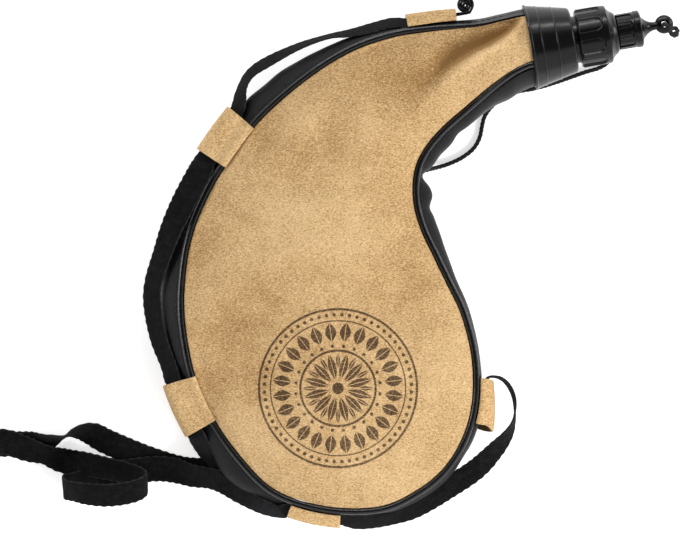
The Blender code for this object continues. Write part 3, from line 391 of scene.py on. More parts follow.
# Details of stitches, pipings, keepers and cord
STITCH_RADIUS = 0.26 * MM
STITCH_LIFT = 0.05 * MM
PIPING_STEP = 1.6 * MM
KEEPER_STEP = 1.2 * MM
CUT_EDGE = 0.35 * MM
CORD_STEP = 0.6 * MM
CORD_LIFT = 0.15 * MM
STRAND_SHARES = (0.55, 0.60)  # of the cord's radius: how far out each strand winds, and its own radius
# The knot's loops over the eyelet, counted from the ball's middle and its top
KNOT_SHARES = (
    (0.86, -1.02, 0.10),
    (0.66, -1.20, 0.28),
    (0.40, -1.10, 0.52),
    (0.30, -0.78, 0.46),
    (0.52, -0.52, 0.16),
    (0.82, -0.58, 0.02),
    (0.88, -0.86, 0.20),
    (0.62, -1.02, 0.44),
    (0.34, -0.92, 0.26),
    (0.30, -0.66, 0.04),
    (0.26, -0.42, 0.10),
    (0.12, -0.16, 0.10),
    (0.00, 0.00, -0.16),
)
# The rolled end: where its middle lies beside the keeper, in roll radii, and its turns
ROLL_PLACE_SHARES = (1.35, 1.15)
ROLL_TURNS = 2.95
LEANS_IN = 5.5 * MM  # a strap lying flat in a keeper, nearer to the bag than one on edge
LEANS_UP = 11 * MM  # and higher

# Details of the mouldings
SOFT_EDGE = 0.5 * MM
CAP_EDGE = 0.4 * MM
FINE_EDGE = 0.3 * MM
# The groove in the collar's front: depth, and distance from the tube's hole
COLLAR_GROOVE = ((0.0, 0.7 * MM), (0.5 * MM, 1.1 * MM), (0.5 * MM, 2.2 * MM), (0.0, 2.6 * MM))
THREAD_RIDGE = 0.34 * MM
TUBE_THREAD_ENDS = (1.0 * MM, 1.2 * MM)  # bare tube before and after the thread
NOZZLE_THREAD_ENDS = (1.2 * MM, 0.2 * MM)
# Recesses in the caps: width, length, depth and soft edge
FILLER_RECESS = (9.8 * MM, 15.8 * MM, 1.3 * MM, 0.7 * MM)
CAP_RECESS = (4.2 * MM, 9.8 * MM, 0.8 * MM, 0.5 * MM)
BARREL_ROUNDING = 0.6 * MM  # a barrel's rows further in than this carry no recess
FILLER_ROWS = 0.26 * MM
CAP_ROWS = 0.20 * MM

# Details of the finishes

# The stamped rosette: rings between two radii, dots by number, radius and size, leaves by number,
# inner and outer radius, half width and turn, and a disc in the middle
ROSETTE = (
    ("ring", 0.0482, 0.0496),
    ("dots", 60, 0.0455, 0.00115),
    ("ring", 0.0414, 0.0422),
    ("leaves", 24, 0.0288, 0.0410, 0.0035, 0.0),
    ("dots", 24, 0.0262, 0.00105),
    ("ring", 0.0226, 0.0240),
    ("leaves", 12, 0.0052, 0.0222, 0.0026, 0.0),
    ("leaves", 12, 0.0120, 0.0224, 0.0014, 0.5),
    ("disc", 0.0036),
)
ROSETTE_PLACE_SHARES = (0.006, -0.136)
INK_EDGE = 0.20 * MM
RING_EDGE = 0.18 * MM
LEAF_VEIN = 0.22 * MM
LEAF_VEIN_EDGE = 0.12 * MM
WARP_PITCH = 1.05 * MM
WEFT_PITCH = 1.4 * MM
SELVEDGE = (7.0 * MM, 8.0 * MM)  # from the webbing's middle, where its paler edge starts and is full

# The stage: lamps by place, width, depth and watts, the black card's sides, east side first so that
# it faces down, its height, and the floor's drop
LAMPS = (
    ("key", 0.90, -1.25, 0.95, 0.7, 0.6, 31.0),
    ("strip", 0.15, 1.40, 0.72, 1.6, 0.20, 11.0),
    ("fill", -1.50, 0.40, 0.60, 0.5, 0.3, 8.0),
    ("edge", 1.50, 0.35, 0.55, 0.5, 0.35, 4.0),
)
CARD_SIDES = (2.1, -1.9, -0.62, 1.30)
CARD_HEIGHT = 1.5
FLOOR_DROP = 0.3 * MM


# Sizes and finishes


def length(label, note, value):
    return FloatProperty(name=label, description=note, default=value, unit="LENGTH", precision=5)


def turn(label, note, degrees):
    return FloatProperty(name=label, description=note, default=math.radians(degrees), subtype="ANGLE")


def colour(label, note, value):
    return FloatVectorProperty(
        name=label, description=note, default=value, subtype="COLOR", size=3, min=0.0, max=1.0
    )


class BotaBagSizes(bpy.types.PropertyGroup):
    """Sizes of the leather bag."""

    bag_length: length("Bag length", "From the collar's rim down to the lowest seam", 0.310)
    belly_top: length("Belly height", "Height of the front panel over the floor", 0.048)
    seam_front: length("Front seam height", "Height of the front seam along the belly", 0.036)
    seam_back: length("Back seam height", "Height of the back seam along the belly", 0.009)
    back_lean: length("Back lean", "How far the back panel lies to the strap's side", 0.006)
    gusset_reach: length("Gusset reach", "Most that the gusset stands out beyond the seam", 0.015)
    leather: length("Leather thickness", "Thickness of both suede panels", 0.0018)
    gusset_leather: length("Gusset thickness", "Thickness of the leatherette gusset", 0.0014)
    piping_radius: length("Piping radius", "Radius of the welts between panels and gusset", 0.0020)
    clearance: length("Clearance", "Gap between neighbouring pieces", 0.0003)
    bladder_wall: length("Bladder wall", "Thickness of the inner bladder", 0.0010)
    bladder_room: length("Bladder room", "Between the bladder and the leather at the belly", 0.0012)
    stitch_length: length("Stitch length", "Length of one stitch beside the piping", 0.0026)
    stitch_pitch: length("Stitch pitch", "From one stitch to the next", 0.0038)


class BotaMouthSizes(bpy.types.PropertyGroup):
    """Sizes of the mouthpiece, along its axis from the collar's rim."""

    tilt: turn("Mouthpiece tilt", "Of the mouthpiece's axis over the outline's own x axis", 9.8)
    axis_height: length("Axis height", "Height of the mouthpiece's axis over the floor", 0.027)
    collar_radius: length("Collar radius", "At the collar's rim", 0.02645)
    collar_front_radius: length("Collar front radius", "At the collar's front", 0.0202)
    collar_length: length("Collar length", "From its rim to its front", 0.028)
    collar_wall: length("Collar wall", "Thickness of the collar's cone", 0.0016)
    collar_front_wall: length("Collar front wall", "Thickness of the collar's front", 0.0036)
    collar_ridge: length("Collar ridge", "Height of the thin mould ridges", 0.0004)
    collar_rim: length("Collar rim", "Width of the raised rim", 0.0012)
    tuck: length("Tuck", "Length of leather held inside the collar", 0.008)
    tube_bore: length("Tube bore", "Radius of the filling hole", 0.012)
    tube_radius: length("Tube radius", "Radius of the threaded tube", 0.0146)
    tube_reach: length("Tube reach", "Of the threaded tube past the collar", 0.016)
    tube_foot: length("Tube foot", "Of the tube inside the bag", 0.003)
    thread_room: length("Thread room", "Between the tube and the cap's bore", 0.0004)
    filler_pitch: length("Filler thread pitch", "Rise of the filler cap in one turn", 0.003)
    cap_pitch: length("Cap thread pitch", "Rise of the spout cap in one turn", 0.0025)
    gasket: length("Gasket thickness", "Of the flat ring under the filler cap", 0.0020)
    filler_radius: length("Filler cap radius", "Outer radius of the filler cap", 0.0182)
    filler_gap: length("Filler cap gap", "Between the collar and the filler cap", 0.003)
    filler_top_wall: length("Filler cap wall", "Thickness of the filler cap's top", 0.0040)
    filler_edge: length("Filler cap edge", "Rounding of the filler cap's rim", 0.0010)
    filler_recesses: IntProperty(name="Finger recesses", description="Round the filler cap", default=8)
    shoulder_radius: length("Shoulder radius", "Of the step under the nozzle", 0.0129)
    shoulder_length: length("Shoulder length", "Of the step under the nozzle", 0.0048)
    nozzle_radius: length("Nozzle radius", "Outer radius of the threaded nozzle", 0.00755)
    nozzle_length: length("Nozzle length", "From the shoulder to the drinking hole", 0.0106)
    nozzle_bore: length("Nozzle bore", "Radius of the channel in the nozzle", 0.0026)
    drink_hole: length("Drinking hole", "Radius of the hole in the tip", 0.0012)
    cap_radius: length("Spout cap radius", "Outer radius of the spout cap", 0.01115)
    cap_length: length("Spout cap length", "Without its finial", 0.0155)
    cap_flange: length("Cap flange length", "Of the smooth band at the cap's end", 0.0042)
    cap_flange_proud: length("Cap flange height", "Of that band over the cap", 0.0004)
    cap_recesses: IntProperty(name="Grip recesses", description="Round the spout cap", default=10)
    seal: length("Seal thickness", "Of the disc that closes the nozzle", 0.0013)
    finial_base: length("Finial base", "Radius of the flare at the cap", 0.0080)
    finial_neck: length("Finial neck", "Least radius of the flare", 0.0025)
    finial_length: length("Finial length", "From the cap to the eyelet ball", 0.0098)
    ball_radius: length("Ball radius", "Of the eyelet ball", 0.0059)
    ball_thickness: length("Ball thickness", "Of the ball along its hole", 0.0070)
    eye_radius: length("Eye radius", "Of the hole that the tether passes", 0.0019)


class BotaStrapSizes(bpy.types.PropertyGroup):
    """Sizes of the strap, its keepers and the tether."""

    keeper_width: length("Keeper width", "Of each suede loop along the seam", 0.030)
    keeper_leather: length("Keeper thickness", "Thickness of the suede loops", 0.0016)
    long_reach: length("Long side reach", "Outer face of the two long keepers", 0.0217)
    short_reach: length("Short side reach", "Outer face of the other keepers", 0.0133)
    strap_width: length("Strap width", "Of the cotton webbing", 0.0165)
    strap_thickness: length("Strap thickness", "Of the cotton webbing", 0.0015)
    roll_radius: length("Roll radius", "Of the strap's rolled end", 0.0052)
    roll_core: length("Roll core", "Inner radius of the rolled end", 0.0004)
    edge_pitch: length("Edge loop pitch", "From one edge loop of the webbing to the next", 0.0049)
    edge_depth: length("Edge loop depth", "How far the edge loops stand out", 0.00055)
    tether_radius: length("Tether radius", "Of the thin cord", 0.00125)
    tether_twist: length("Tether twist", "Length of one turn of the cord's strands", 0.0085)


class BotaFinishes(bpy.types.PropertyGroup):
    """Colours of the bag's finishes."""

    suede_light: colour("Suede, light", "Raised fibres of the suede", (0.830, 0.594, 0.326))
    suede_mid: colour("Suede, middle", "The suede's main colour", (0.632, 0.412, 0.194))
    suede_dark: colour("Suede, dark", "Between the suede's fibres", (0.330, 0.180, 0.063))
    ink: colour("Stamp ink", "The stamped round ornament", (0.060, 0.030, 0.017))
    leatherette: colour("Leatherette", "The black gusset", (0.0060, 0.0060, 0.0065))
    piping: colour("Piping", "The black welts", (0.0045, 0.0045, 0.0050))
    plastic: colour("Plastic", "The black mouthpiece", (0.0045, 0.0045, 0.0050))
    rubber: colour("Rubber", "Gasket and seal", (0.020, 0.020, 0.020))
    latex: colour("Latex", "The inner bladder", (0.030, 0.030, 0.030))
    steel: colour("Steel", "The clamp inside the collar", (0.60, 0.60, 0.60))
    webbing: colour("Webbing", "The black cotton strap", (0.0052, 0.0052, 0.0056))
    cord: colour("Cord", "The black tether", (0.0060, 0.0060, 0.0065))


class BotaStageSizes(bpy.types.PropertyGroup):
    """The camera, the floor and the lights."""

    camera_height: length("Camera height", "Over the floor", 2.44)
    view_width: length("View width", "Of the picture, at the front panel", 0.4216)
    view_right: length("View centre, right", "Of the picture, from the bag's origin", 0.0031)
    view_up: length("View centre, up", "Of the picture, from the bag's origin", 0.0322)
    focus_height: length("Panel height", "Where the view width is measured", 0.040)
    floor_size: length("Floor size", "Side of the floor", 12.0)


# Numbers and curves through chosen points


def smooth_rows(rows, steps):
    """Catmull-Rom rows through the given rows, each a tuple of numbers."""
    given = np.array(rows, float)
    made = []
    for i in range(len(given) - 1):
        before = given[max(i - 1, 0)]
        start = given[i]
        end = given[i + 1]
        after = given[min(i + 2, len(given) - 1)]
        for t in np.linspace(0, 1, steps, endpoint=False):
            made.append(
                0.5
                * (
                    2 * start
                    + (end - before) * t
                    + (2 * before - 5 * start + 4 * end - after) * t**2
                    + (3 * start - before - 3 * end + after) * t**3
                )
            )
    made.append(given[-1])
    return np.array(made)


def lengths_along(points):
    steps = np.linalg.norm(np.diff(points, axis=0), axis=1)
    return np.concatenate([[0.0], np.cumsum(steps)])


def rows_at(rows, places, wanted):
    """Each column of rows read at the wanted places along them."""
    return np.stack([np.interp(wanted, places, column) for column in rows.T], axis=1)


def even_rows(rows, spacing, columns=3):
    """Rows spaced evenly along the line that their first columns describe."""
    places = lengths_along(rows[:, :columns])
    count = max(int(round(places[-1] / spacing)), 2)
    return rows_at(rows, places, np.linspace(0, places[-1], count + 1))


def mix(a, b, share):
    return a * (1 - share) + b * share


def smooth_step(low, high, value):
    t = np.clip((value - low) / (high - low), 0.0, 1.0)
    return t * t * (3 - 2 * t)


def ripple(points, scale, seed=0.0):
    """Smooth noise from -1 to 1 at each point, for features of about the scale."""
    return np.array([noise.noise(Vector(p) / scale + Vector((seed, seed, seed))) for p in points])


def waves(points, name):
    """Unevenness of one of the listed kinds at each point."""
    height, size, seed = WAVES[name]
    return height * MM * ripple(points, size * MM, seed)


def unit(vectors):
    return vectors / np.maximum(np.linalg.norm(vectors, axis=-1, keepdims=True), TINY)


# The bag's plan and its cross-sections


class BagPlan:
    """The bag's outline at the chosen sizes, and the stations along its seam."""

    def __init__(self, scene):
        self.bag = bag = scene.bota_bag
        self.mouth = mouth = scene.bota_mouth
        self.cos, self.sin = math.cos(mouth.tilt), math.sin(mouth.tilt)
        self.neck_centre = self.place(*SPINE_SHARES[0])
        self.neck_radius = (
            mouth.collar_radius - mouth.collar_wall - bag.clearance - 0.5 * mouth.collar_ridge
        )
        self.collar_slope = (mouth.collar_radius - mouth.collar_front_radius) / mouth.collar_length
        self.lean = -bag.back_lean * np.array((self.cos, -self.sin))
        self.tucked = (*(share * mouth.tuck for share in TUCK_SHARES), RIM_TUCK)
        rows = [(*self.place(x, y), along, reach) for x, y, along, reach in SEAM_SHARES]
        self.dense = smooth_rows(rows, 12)
        lengths = lengths_along(self.dense[:, :2])
        self.seam_length = lengths[-1]
        self.places = lengths / lengths[-1]
        self.spine = smooth_rows([self.place(x, y) for x, y in SPINE_SHARES], 8)
        self.spine_places = lengths_along(self.spine) / lengths_along(self.spine)[-1]
        turned = [self.places[i] for i in range(len(self.dense)) if self.dense[i, 2] >= 1 - MERGE]
        self.belly_start, self.belly_end = turned[0], turned[-1]

    def place(self, x_share, y_share):
        """A place of the outline's own frame, turned so that the mouthpiece runs along X."""
        turned = (x_share * self.cos + y_share * self.sin, y_share * self.cos - x_share * self.sin)
        return np.array(turned) * self.bag.bag_length

    def shares(self, points):
        """The outline's own shares of plan points."""
        x, y = points[:, 0], points[:, 1]
        turned = (x * self.cos - y * self.sin, x * self.sin + y * self.cos)
        return np.stack(turned, axis=1) / self.bag.bag_length

    def nearest(self, x_share, y_share):
        """The place along the seam that is nearest to a point given in shares."""
        gaps = np.linalg.norm(self.dense[:, :2] - self.place(x_share, y_share), axis=1)
        return self.places[int(np.argmin(gaps))]

    def neck_radius_at(self, along_axis):
        """Outer radius of the leather inside the collar, which narrows with it."""
        return self.neck_radius - self.collar_slope * max(along_axis, 0.0)

    def side_stations(self, long_side, count):
        shares = np.linspace(0, 1, count)
        if long_side:
            kept = self.places <= self.belly_start
            places = np.interp(shares, self.dense[kept, 2], self.places[kept])
        else:
            kept = self.places >= self.belly_end
            places = np.interp(shares, self.dense[kept, 2][::-1], self.places[kept][::-1])
        return [Station(self, place, along) for place, along in zip(places, shares)]

    def all_stations(self, depths, sides, belly):
        """Stations round the whole seam, with the given depths inside the collar at both ends."""
        places = np.linspace(self.belly_start, self.belly_end, belly + 1)[1:-1]
        return (
            [Station(self, 0.0, 0.0, inside, 1) for inside in depths]
            + self.side_stations(True, sides)
            + [Station(self, place, 1.0) for place in places]
            + self.side_stations(False, sides)[::-1]
            + [Station(self, 1.0, 0.0, inside, -1) for inside in depths[::-1]]
        )


class Station:
    """One place on the seam with the cross-section that hangs on it.

    Heights and outward distances are a mix of two shapes: the round neck, about the mouthpiece's
    axis, and the belly, with its domed front and flat back.
    """

    def __init__(self, plan, place, along=None, inside=0.0, side=0):
        bag = self.bag = plan.bag
        self.axis = plan.mouth.axis_height
        self.at = place
        row = rows_at(plan.dense, plan.places, [place])[0]
        near = [min(place + BESIDE_SHARE, 1.0), max(place - BESIDE_SHARE, 0.0)]
        ahead, behind = rows_at(plan.dense[:, :2], plan.places, near)
        self.seam = row[:2]
        self.along = row[2] if along is None else along
        self.reach = row[3] * bag.gusset_reach
        self.round = 1 - smooth_step(*NECK_SPINE_SHARES, self.along)
        tangent = (ahead - behind) / np.linalg.norm(ahead - behind)
        normal = np.array((tangent[1], -tangent[0]))
        square = np.array((0.0, 1.0 if place < 0.5 else -1.0))
        self.outward = unit(mix(normal, square, self.round**3))
        self.spine = rows_at(plan.spine, plan.spine_places, [self.along])[0]
        self.radius = plan.neck_radius_at(inside)
        first = plan.dense[0, :2] if place < 0.5 else plan.dense[-1, :2]
        self.angle = math.asin(abs(first[1] - plan.neck_centre[1]) / plan.neck_radius)
        self.inside = inside
        if side:
            self.outward = np.array((0.0, float(side)))
            self.spine = plan.neck_centre + (inside, 0)
            self.seam = self.spine + self.outward * self.radius * math.sin(self.angle)
            self.round = 1.0
        sines = math.sin(BACK_SEAM_ANGLE) - math.sin(self.angle)
        neck_shift = self.outward * self.radius * sines
        self.lean = plan.lean * smooth_step(0.2, 0.9, self.along)
        self.shift = mix(self.lean, neck_shift, self.round)
        self.front_height = mix(
            bag.seam_front, self.axis + self.radius * math.cos(self.angle), self.round
        )
        self.back_height = mix(
            bag.seam_back, self.axis + self.radius * math.cos(BACK_SEAM_ANGLE), self.round
        )
        self.middle_height = mix((bag.seam_front + bag.seam_back) / 2, self.axis, self.round)

    def rows(self, plan, heights):
        return np.column_stack((plan, heights))

    def front(self, shares):
        """The front panel's outer face, from the spine at 0 to the seam at 1."""
        v = np.asarray(shares, float)[:, None]
        plan = mix(self.spine, self.seam, v)
        dome = np.maximum(1 - v[:, 0] ** 2.2, 0) ** 0.8
        neck = self.radius * np.sqrt(1 - (v[:, 0] * math.sin(self.angle)) ** 2)
        belly = mix(self.bag.seam_front, self.bag.belly_top, dome)
        return self.rows(plan, mix(belly, self.axis + neck, self.round))

    def back(self, shares):
        """The back panel's outer face, flat on the floor over most of its width."""
        v = np.asarray(shares, float)[:, None]
        plan = mix(self.spine, self.seam + self.shift, v)
        lift = np.maximum(v[:, 0] - FLAT_SHARE, 0.0) / (1 - FLAT_SHARE)
        neck = self.radius * np.sqrt(1 - (v[:, 0] * math.sin(BACK_SEAM_ANGLE)) ** 2)
        return self.rows(plan, mix(self.bag.seam_back * lift**1.6, self.axis - neck, self.round))

    def on_neck(self, angle, depth=0.0):
        """Outward distance from the seam and height on the round neck, at an angle from its top."""
        radius = self.radius - depth
        outwards = radius * np.sin(angle) - self.radius * math.sin(self.angle)
        return outwards, self.axis + radius * np.cos(angle)

    def gusset(self, shares, proud):
        """The gusset's outer face, from the front piping at 0 to the back piping at 1."""
        u = np.asarray(shares, float)
        bag = self.bag
        edge = bag.piping_radius + bag.clearance
        start = edge + 0.7 * bag.piping_radius + self.round * (1 - self.round) * 6 * bag.clearance
        slack = self.reach - start - 0.5 * float(self.lean @ self.outward)
        bulge = max(slack, bag.piping_radius / 4)
        swell = 1 - np.abs(2 * u - 1) ** 2.5
        belly_out = start + bulge * swell + proud
        top = bag.seam_front - bag.leather / 2 - 0.95 * bag.piping_radius
        bottom = bag.seam_back + bag.leather / 2 + 0.95 * bag.piping_radius
        step = (2 * edge + 2 * bag.clearance) / (self.radius - bag.leather)
        angle = mix(self.angle + step, BACK_SEAM_ANGLE - step, u)
        neck_out, neck_height = self.on_neck(angle, -proud)
        outwards = mix(belly_out, neck_out, self.round)
        leaning = self.lean * (u * (1 - self.round))[:, None]
        plan = self.seam + leaning + self.outward * outwards[:, None]
        return self.rows(plan, mix(mix(top, bottom, u), neck_height, self.round))

    def piping(self, back):
        """Centre of the front or the back piping."""
        bag = self.bag
        edge = bag.piping_radius + bag.clearance
        step = edge / (self.radius - bag.leather)
        angle = BACK_SEAM_ANGLE - step if back else self.angle + step
        neck_out, neck_height = self.on_neck(angle, bag.leather / 2)
        sign = 1 if back else -1
        belly_height = (bag.seam_back if back else bag.seam_front) + sign * bag.leather / 2
        plan = self.seam + self.outward * mix(edge, neck_out, self.round)
        if back:
            plan = plan + self.lean * (1 - self.round)
        return np.array((*plan, mix(belly_height, neck_height, self.round)))

    def beside(self, outwards, height, back=False):
        """A place beside the front or back seam, used for keepers and the strap in them."""
        edge = float(self.shift @ self.outward) if back else 0.0
        plan = self.seam + self.outward * (outwards + edge)
        return np.array((*plan, height))


# Relief of the soft parts


def crease_depth(plan, points):
    """How far the neck's crease sinks the front panel at each point."""
    line = smooth_rows(CREASE, 8)
    shares = plan.shares(points)
    best = np.full(len(points), np.inf)
    depth = np.zeros(len(points))
    for a, b in zip(line, line[1:]):
        way = b[:2] - a[:2]
        gap = shares - a[:2]
        t = np.clip(gap @ way / (way @ way), 0, 1)
        foot = a[:2] + t[:, None] * way
        away = shares - foot
        distance = np.linalg.norm(away, axis=1) * plan.bag.bag_length / MM
        side = np.sign(way[0] * away[:, 1] - way[1] * away[:, 0])
        row = a[2:] + t[:, None] * (b[2:] - a[2:])
        # the line runs away from the collar, so its right-hand side is the long side of the neck
        far = np.exp(-((distance / row[:, 1]) ** 1.6))
        climb = distance / row[:, 2]
        wall = np.where(climb < 1, 1 - 1.3 * climb**1.2, -0.3 * np.exp(-((climb - 1) ** 2)))
        nearer = distance < best
        best = np.where(nearer, distance, best)
        depth = np.where(nearer, row[:, 0] * np.where(side < 0, far, wall), depth)
    return depth * MM


def broad_relief(plan, points):
    """Height of the crease and of the broad hollows and swellings of the front panel."""
    added = -crease_depth(plan, points)
    own = plan.shares(points)
    for x, y, radius, height in SWELLS:
        gap = np.linalg.norm(own - (x, y), axis=1) / radius
        added += height * MM * np.exp(-(gap**2))
    return added + waves(points * (1, 1, 0), "panel swell")


def front_relief(plan, points, shares):
    """Height that creases, hollows and seam puckers add to the front panel."""
    flat = points * (1, 1, 0)
    added = broad_relief(plan, points) + waves(flat, "panel dent")
    pucker = smooth_step(0.62, 0.86, shares) * (1 - smooth_step(0.95, 1.0, shares))
    added += pucker * waves(flat, "seam pucker")
    edge_fade = 1 - smooth_step(0.93, 1.0, shares)
    return added * edge_fade * smooth_step(0.0, COLLAR_FADE, plan.neck_centre[0] - points[:, 0])


def gusset_relief(plan, station, shares):
    """How far folds and slack move the gusset outwards at one station."""
    added = np.zeros(len(shares))
    for x, y, width, height in GUSSET_FOLDS:
        gap = (station.at - plan.nearest(x, y)) * plan.seam_length / (width * MM)
        lean = 0.25 * (shares - 0.5)
        added += height * MM * np.exp(-((gap + lean) ** 2))
    run = station.at * plan.seam_length
    places = [(run, share * GUSSET_DEPTH, 0.0) for share in shares]
    added += waves(places, "gusset slack") + waves(places, "gusset crinkle")
    # stays clear of the pipings, of the collar and of what lies against the gusset
    bow = np.sin(math.pi * np.clip(shares, 0, 1)) ** 0.8
    ends = smooth_step(0.004, 0.020, min(station.at, 1 - station.at))
    return added * bow * ends * (1 - 0.7 * station.round)


# Meshes


def add_piece(name, mesh, finish=None):
    obj = bpy.data.objects.new(name, mesh)
    bpy.context.scene.collection.objects.link(obj)
    if finish:
        mesh.materials.append(finish)
    return obj


def shaded(obj, sharp=40):
    obj.data.shade_smooth()
    obj.data.set_sharp_from_angle(angle=math.radians(sharp))
    return obj


def remade(mesh, work):
    """Reworks a mesh in place."""
    built = bmesh.new()
    built.from_mesh(mesh)
    work(built)
    built.to_mesh(mesh)
    built.free()
    return mesh


def merged_and_turned(built, gap=MERGE):
    bmesh.ops.remove_doubles(built, verts=built.verts, dist=gap)
    bmesh.ops.dissolve_degenerate(built, edges=built.edges, dist=MERGE)
    bmesh.ops.recalc_face_normals(built, faces=built.faces)


def face_outwards(mesh):
    """Merges what falls together and turns a closed skin's faces outwards."""
    return remade(mesh, merged_and_turned)


def grid_mesh(name, rows, loop_rows=False, loop_columns=False, caps=False, uvs=None):
    """A mesh through a grid of points: rows[i][j], with the given directions closed."""
    grid = np.array(rows, float)
    count, width = grid.shape[:2]
    down = np.arange(count if loop_rows else count - 1)
    over = np.arange(width if loop_columns else width - 1)
    i, j = (steps.ravel() for steps in np.meshgrid(down, over, indexing="ij"))
    k, m = (i + 1) % count, (j + 1) % width
    faces = np.stack((i * width + j, i * width + m, k * width + m, k * width + j), axis=1).tolist()
    if caps:
        faces += [list(range(width))[::-1], [(count - 1) * width + j for j in range(width)]]
    mesh = bpy.data.meshes.new(name)
    mesh.from_pydata(grid.reshape(-1, 3).tolist(), [], faces)
    if uvs is not None:
        layer = mesh.uv_layers.new(name="UVMap")
        corners = np.array([loop.vertex_index for loop in mesh.loops])
        layer.data.foreach_set("uv", np.array(uvs, float).reshape(-1, 2)[corners].ravel())
    mesh.validate()
    return mesh


def shell(obj, thickness, offset):
    wall = obj.modifiers.new("Thickness", "SOLIDIFY")
    wall.thickness = thickness
    wall.offset = offset
    return obj


def skin(mesh, surface, thickness):
    """A smooth open skin with its wall behind it."""
    return shell(shaded(add_piece(mesh.name, mesh, finish(surface)), 60), thickness, -1.0)


def flat_sheet(name, sides, height, paint):
    west, east, south, north = sides
    corners = [(west, south, height), (east, south, height), (east, north, height), (west, north, height)]
    mesh = bpy.data.meshes.new(name)
    mesh.from_pydata(corners, [], [(0, 1, 2, 3)])
    return add_piece(name, mesh, paint)


def frames_along(points):
    """Two directions across the line at each point that turn as little as possible along it."""
    tangents = unit(np.gradient(points, axis=0))
    start = np.array((0.0, 0.0, 1.0))
    if abs(tangents[0] @ start) > 0.9:
        start = np.array((0.0, 1.0, 0.0))
    normals = [unit(start - tangents[0] * (start @ tangents[0]))]
    for tangent in tangents[1:]:
        normals.append(unit(normals[-1] - tangent * (normals[-1] @ tangent)))
    return np.array(normals), np.cross(tangents, normals)


def tube_mesh(name, points, radii, sides):
    """A closed round tube along the points."""
    radii = np.broadcast_to(radii, len(points))
    angles = np.linspace(0, 2 * math.pi, sides, endpoint=False)
    rows = [
        p + r * (np.cos(angles)[:, None] * n + np.sin(angles)[:, None] * o)
        for p, r, n, o in zip(points, radii, *frames_along(points))
    ]
    return face_outwards(grid_mesh(name, rows, loop_columns=True, caps=True))


def rounded(corners, radius, steps=4):
    """A profile whose corners are rounded, by no more than its neighbours leave room for."""
    points = [np.array(c, float) for c in corners]
    made = [points[0]]
    for before, corner, after in zip(points, points[1:], points[2:]):
        back, ahead = before - corner, after - corner
        reach = min(radius, 0.45 * np.linalg.norm(back), 0.45 * np.linalg.norm(ahead))
        start = corner + unit(back) * reach
        end = corner + unit(ahead) * reach
        for t in np.linspace(0, 1, steps + 1):
            made.append(mix(mix(start, corner, t), mix(corner, end, t), t))
    made.append(points[-1])
    return made


def turned_piece(plan, name, profile, surface, steps=96, closed=True, press=None):
    """A piece turned about the mouthpiece's axis from (along, radius) points down the outer side."""
    angles = np.linspace(0, 2 * math.pi, steps, endpoint=False)
    x0, y0, z0 = *plan.neck_centre, plan.mouth.axis_height
    rows = []
    for along, radius in np.array(profile, float):
        radii = press(along, radius, angles) if press else np.full(steps, radius)
        ring = (np.full(steps, x0 + along), y0 + radii * np.sin(angles), z0 + radii * np.cos(angles))
        rows.append(np.stack(ring, axis=1))
    mesh = face_outwards(grid_mesh(name, rows, loop_rows=closed, loop_columns=True))
    return shaded(add_piece(name, mesh, finish(surface)))


def carry(obj, body, slot, *nodes):
    """Rides the piece on a body and hides the solids that it stands for; the slot is not used."""
    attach(obj, body)
    if nodes:
        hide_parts(*nodes)
    return obj


# Node trees


def put(tree, kind, inputs=None, **settings):
    """Adds a node, with its settings and with values or links on its inputs."""
    made = tree.nodes.new(kind)
    for key, value in settings.items():
        setattr(made, key, value)
    for key, value in (inputs or {}).items():
        socket = made.inputs[key]
        if isinstance(value, bpy.types.NodeSocket):
            tree.links.new(value, socket)
        else:
            socket.default_value = value
    return made


def result(tree, kind, inputs=None, **settings):
    return put(tree, kind, inputs, **settings).outputs[0]


def calc(tree, operation, a, b=0.0, c=0.0):
    return result(tree, "ShaderNodeMath", {0: a, 1: b, 2: c}, operation=operation)


def times(tree, a, b):
    return calc(tree, "MULTIPLY", a, b)


def hypotenuse(tree, a, b):
    return calc(tree, "SQRT", calc(tree, "ADD", times(tree, a, a), times(tree, b, b)))


def vector(tree, operation, a, other):
    """The result of a vector node, whose second input is a plain factor for SCALE."""
    second = "Scale" if operation == "SCALE" else 1
    return result(tree, "ShaderNodeVectorMath", {0: a, second: other}, operation=operation)


def ranged(tree, value, low, high, first=0.0, last=1.0):
    """Runs from the first to the last number while the value runs from low to high."""
    inputs = {"Value": value, "From Min": low, "From Max": high, "To Min": first, "To Max": last}
    return result(tree, "ShaderNodeMapRange", inputs)


def swept(tree, line, radius, sides):
    """A closed round tube along a curve."""
    section = {"Resolution": sides, "Radius": radius}
    section = result(tree, "GeometryNodeCurvePrimitiveCircle", section)
    tube = {"Curve": line, "Profile Curve": section, "Fill Caps": True}
    return result(tree, "GeometryNodeCurveToMesh", tube)


def evaluated_mesh(obj):
    """A plain mesh of the piece as its modifiers leave it."""
    bpy.context.view_layer.update()
    evaluated = obj.evaluated_get(bpy.context.evaluated_depsgraph_get())
    return bpy.data.meshes.new_from_object(evaluated)


def grown(name, source, tree, values, surface):
    """The plain mesh that a geometry tree grows on a source mesh."""
    guide = add_piece(name + "_guide", source)
    growth = guide.modifiers.new("Growth", "NODES")
    growth.node_group = tree
    for item in tree.interface.items_tree:
        if item.item_type == "SOCKET" and item.in_out == "INPUT" and item.name in values:
            growth[item.identifier] = values[item.name]
    mesh = evaluated_mesh(guide)
    mesh.name = name
    bpy.data.objects.remove(guide, do_unlink=True)
    bpy.data.meshes.remove(source)
    mesh.materials.clear()
    if not len(mesh.polygons):
        raise RuntimeError(f"{name} came out empty")
    return add_piece(name, mesh, finish(surface))


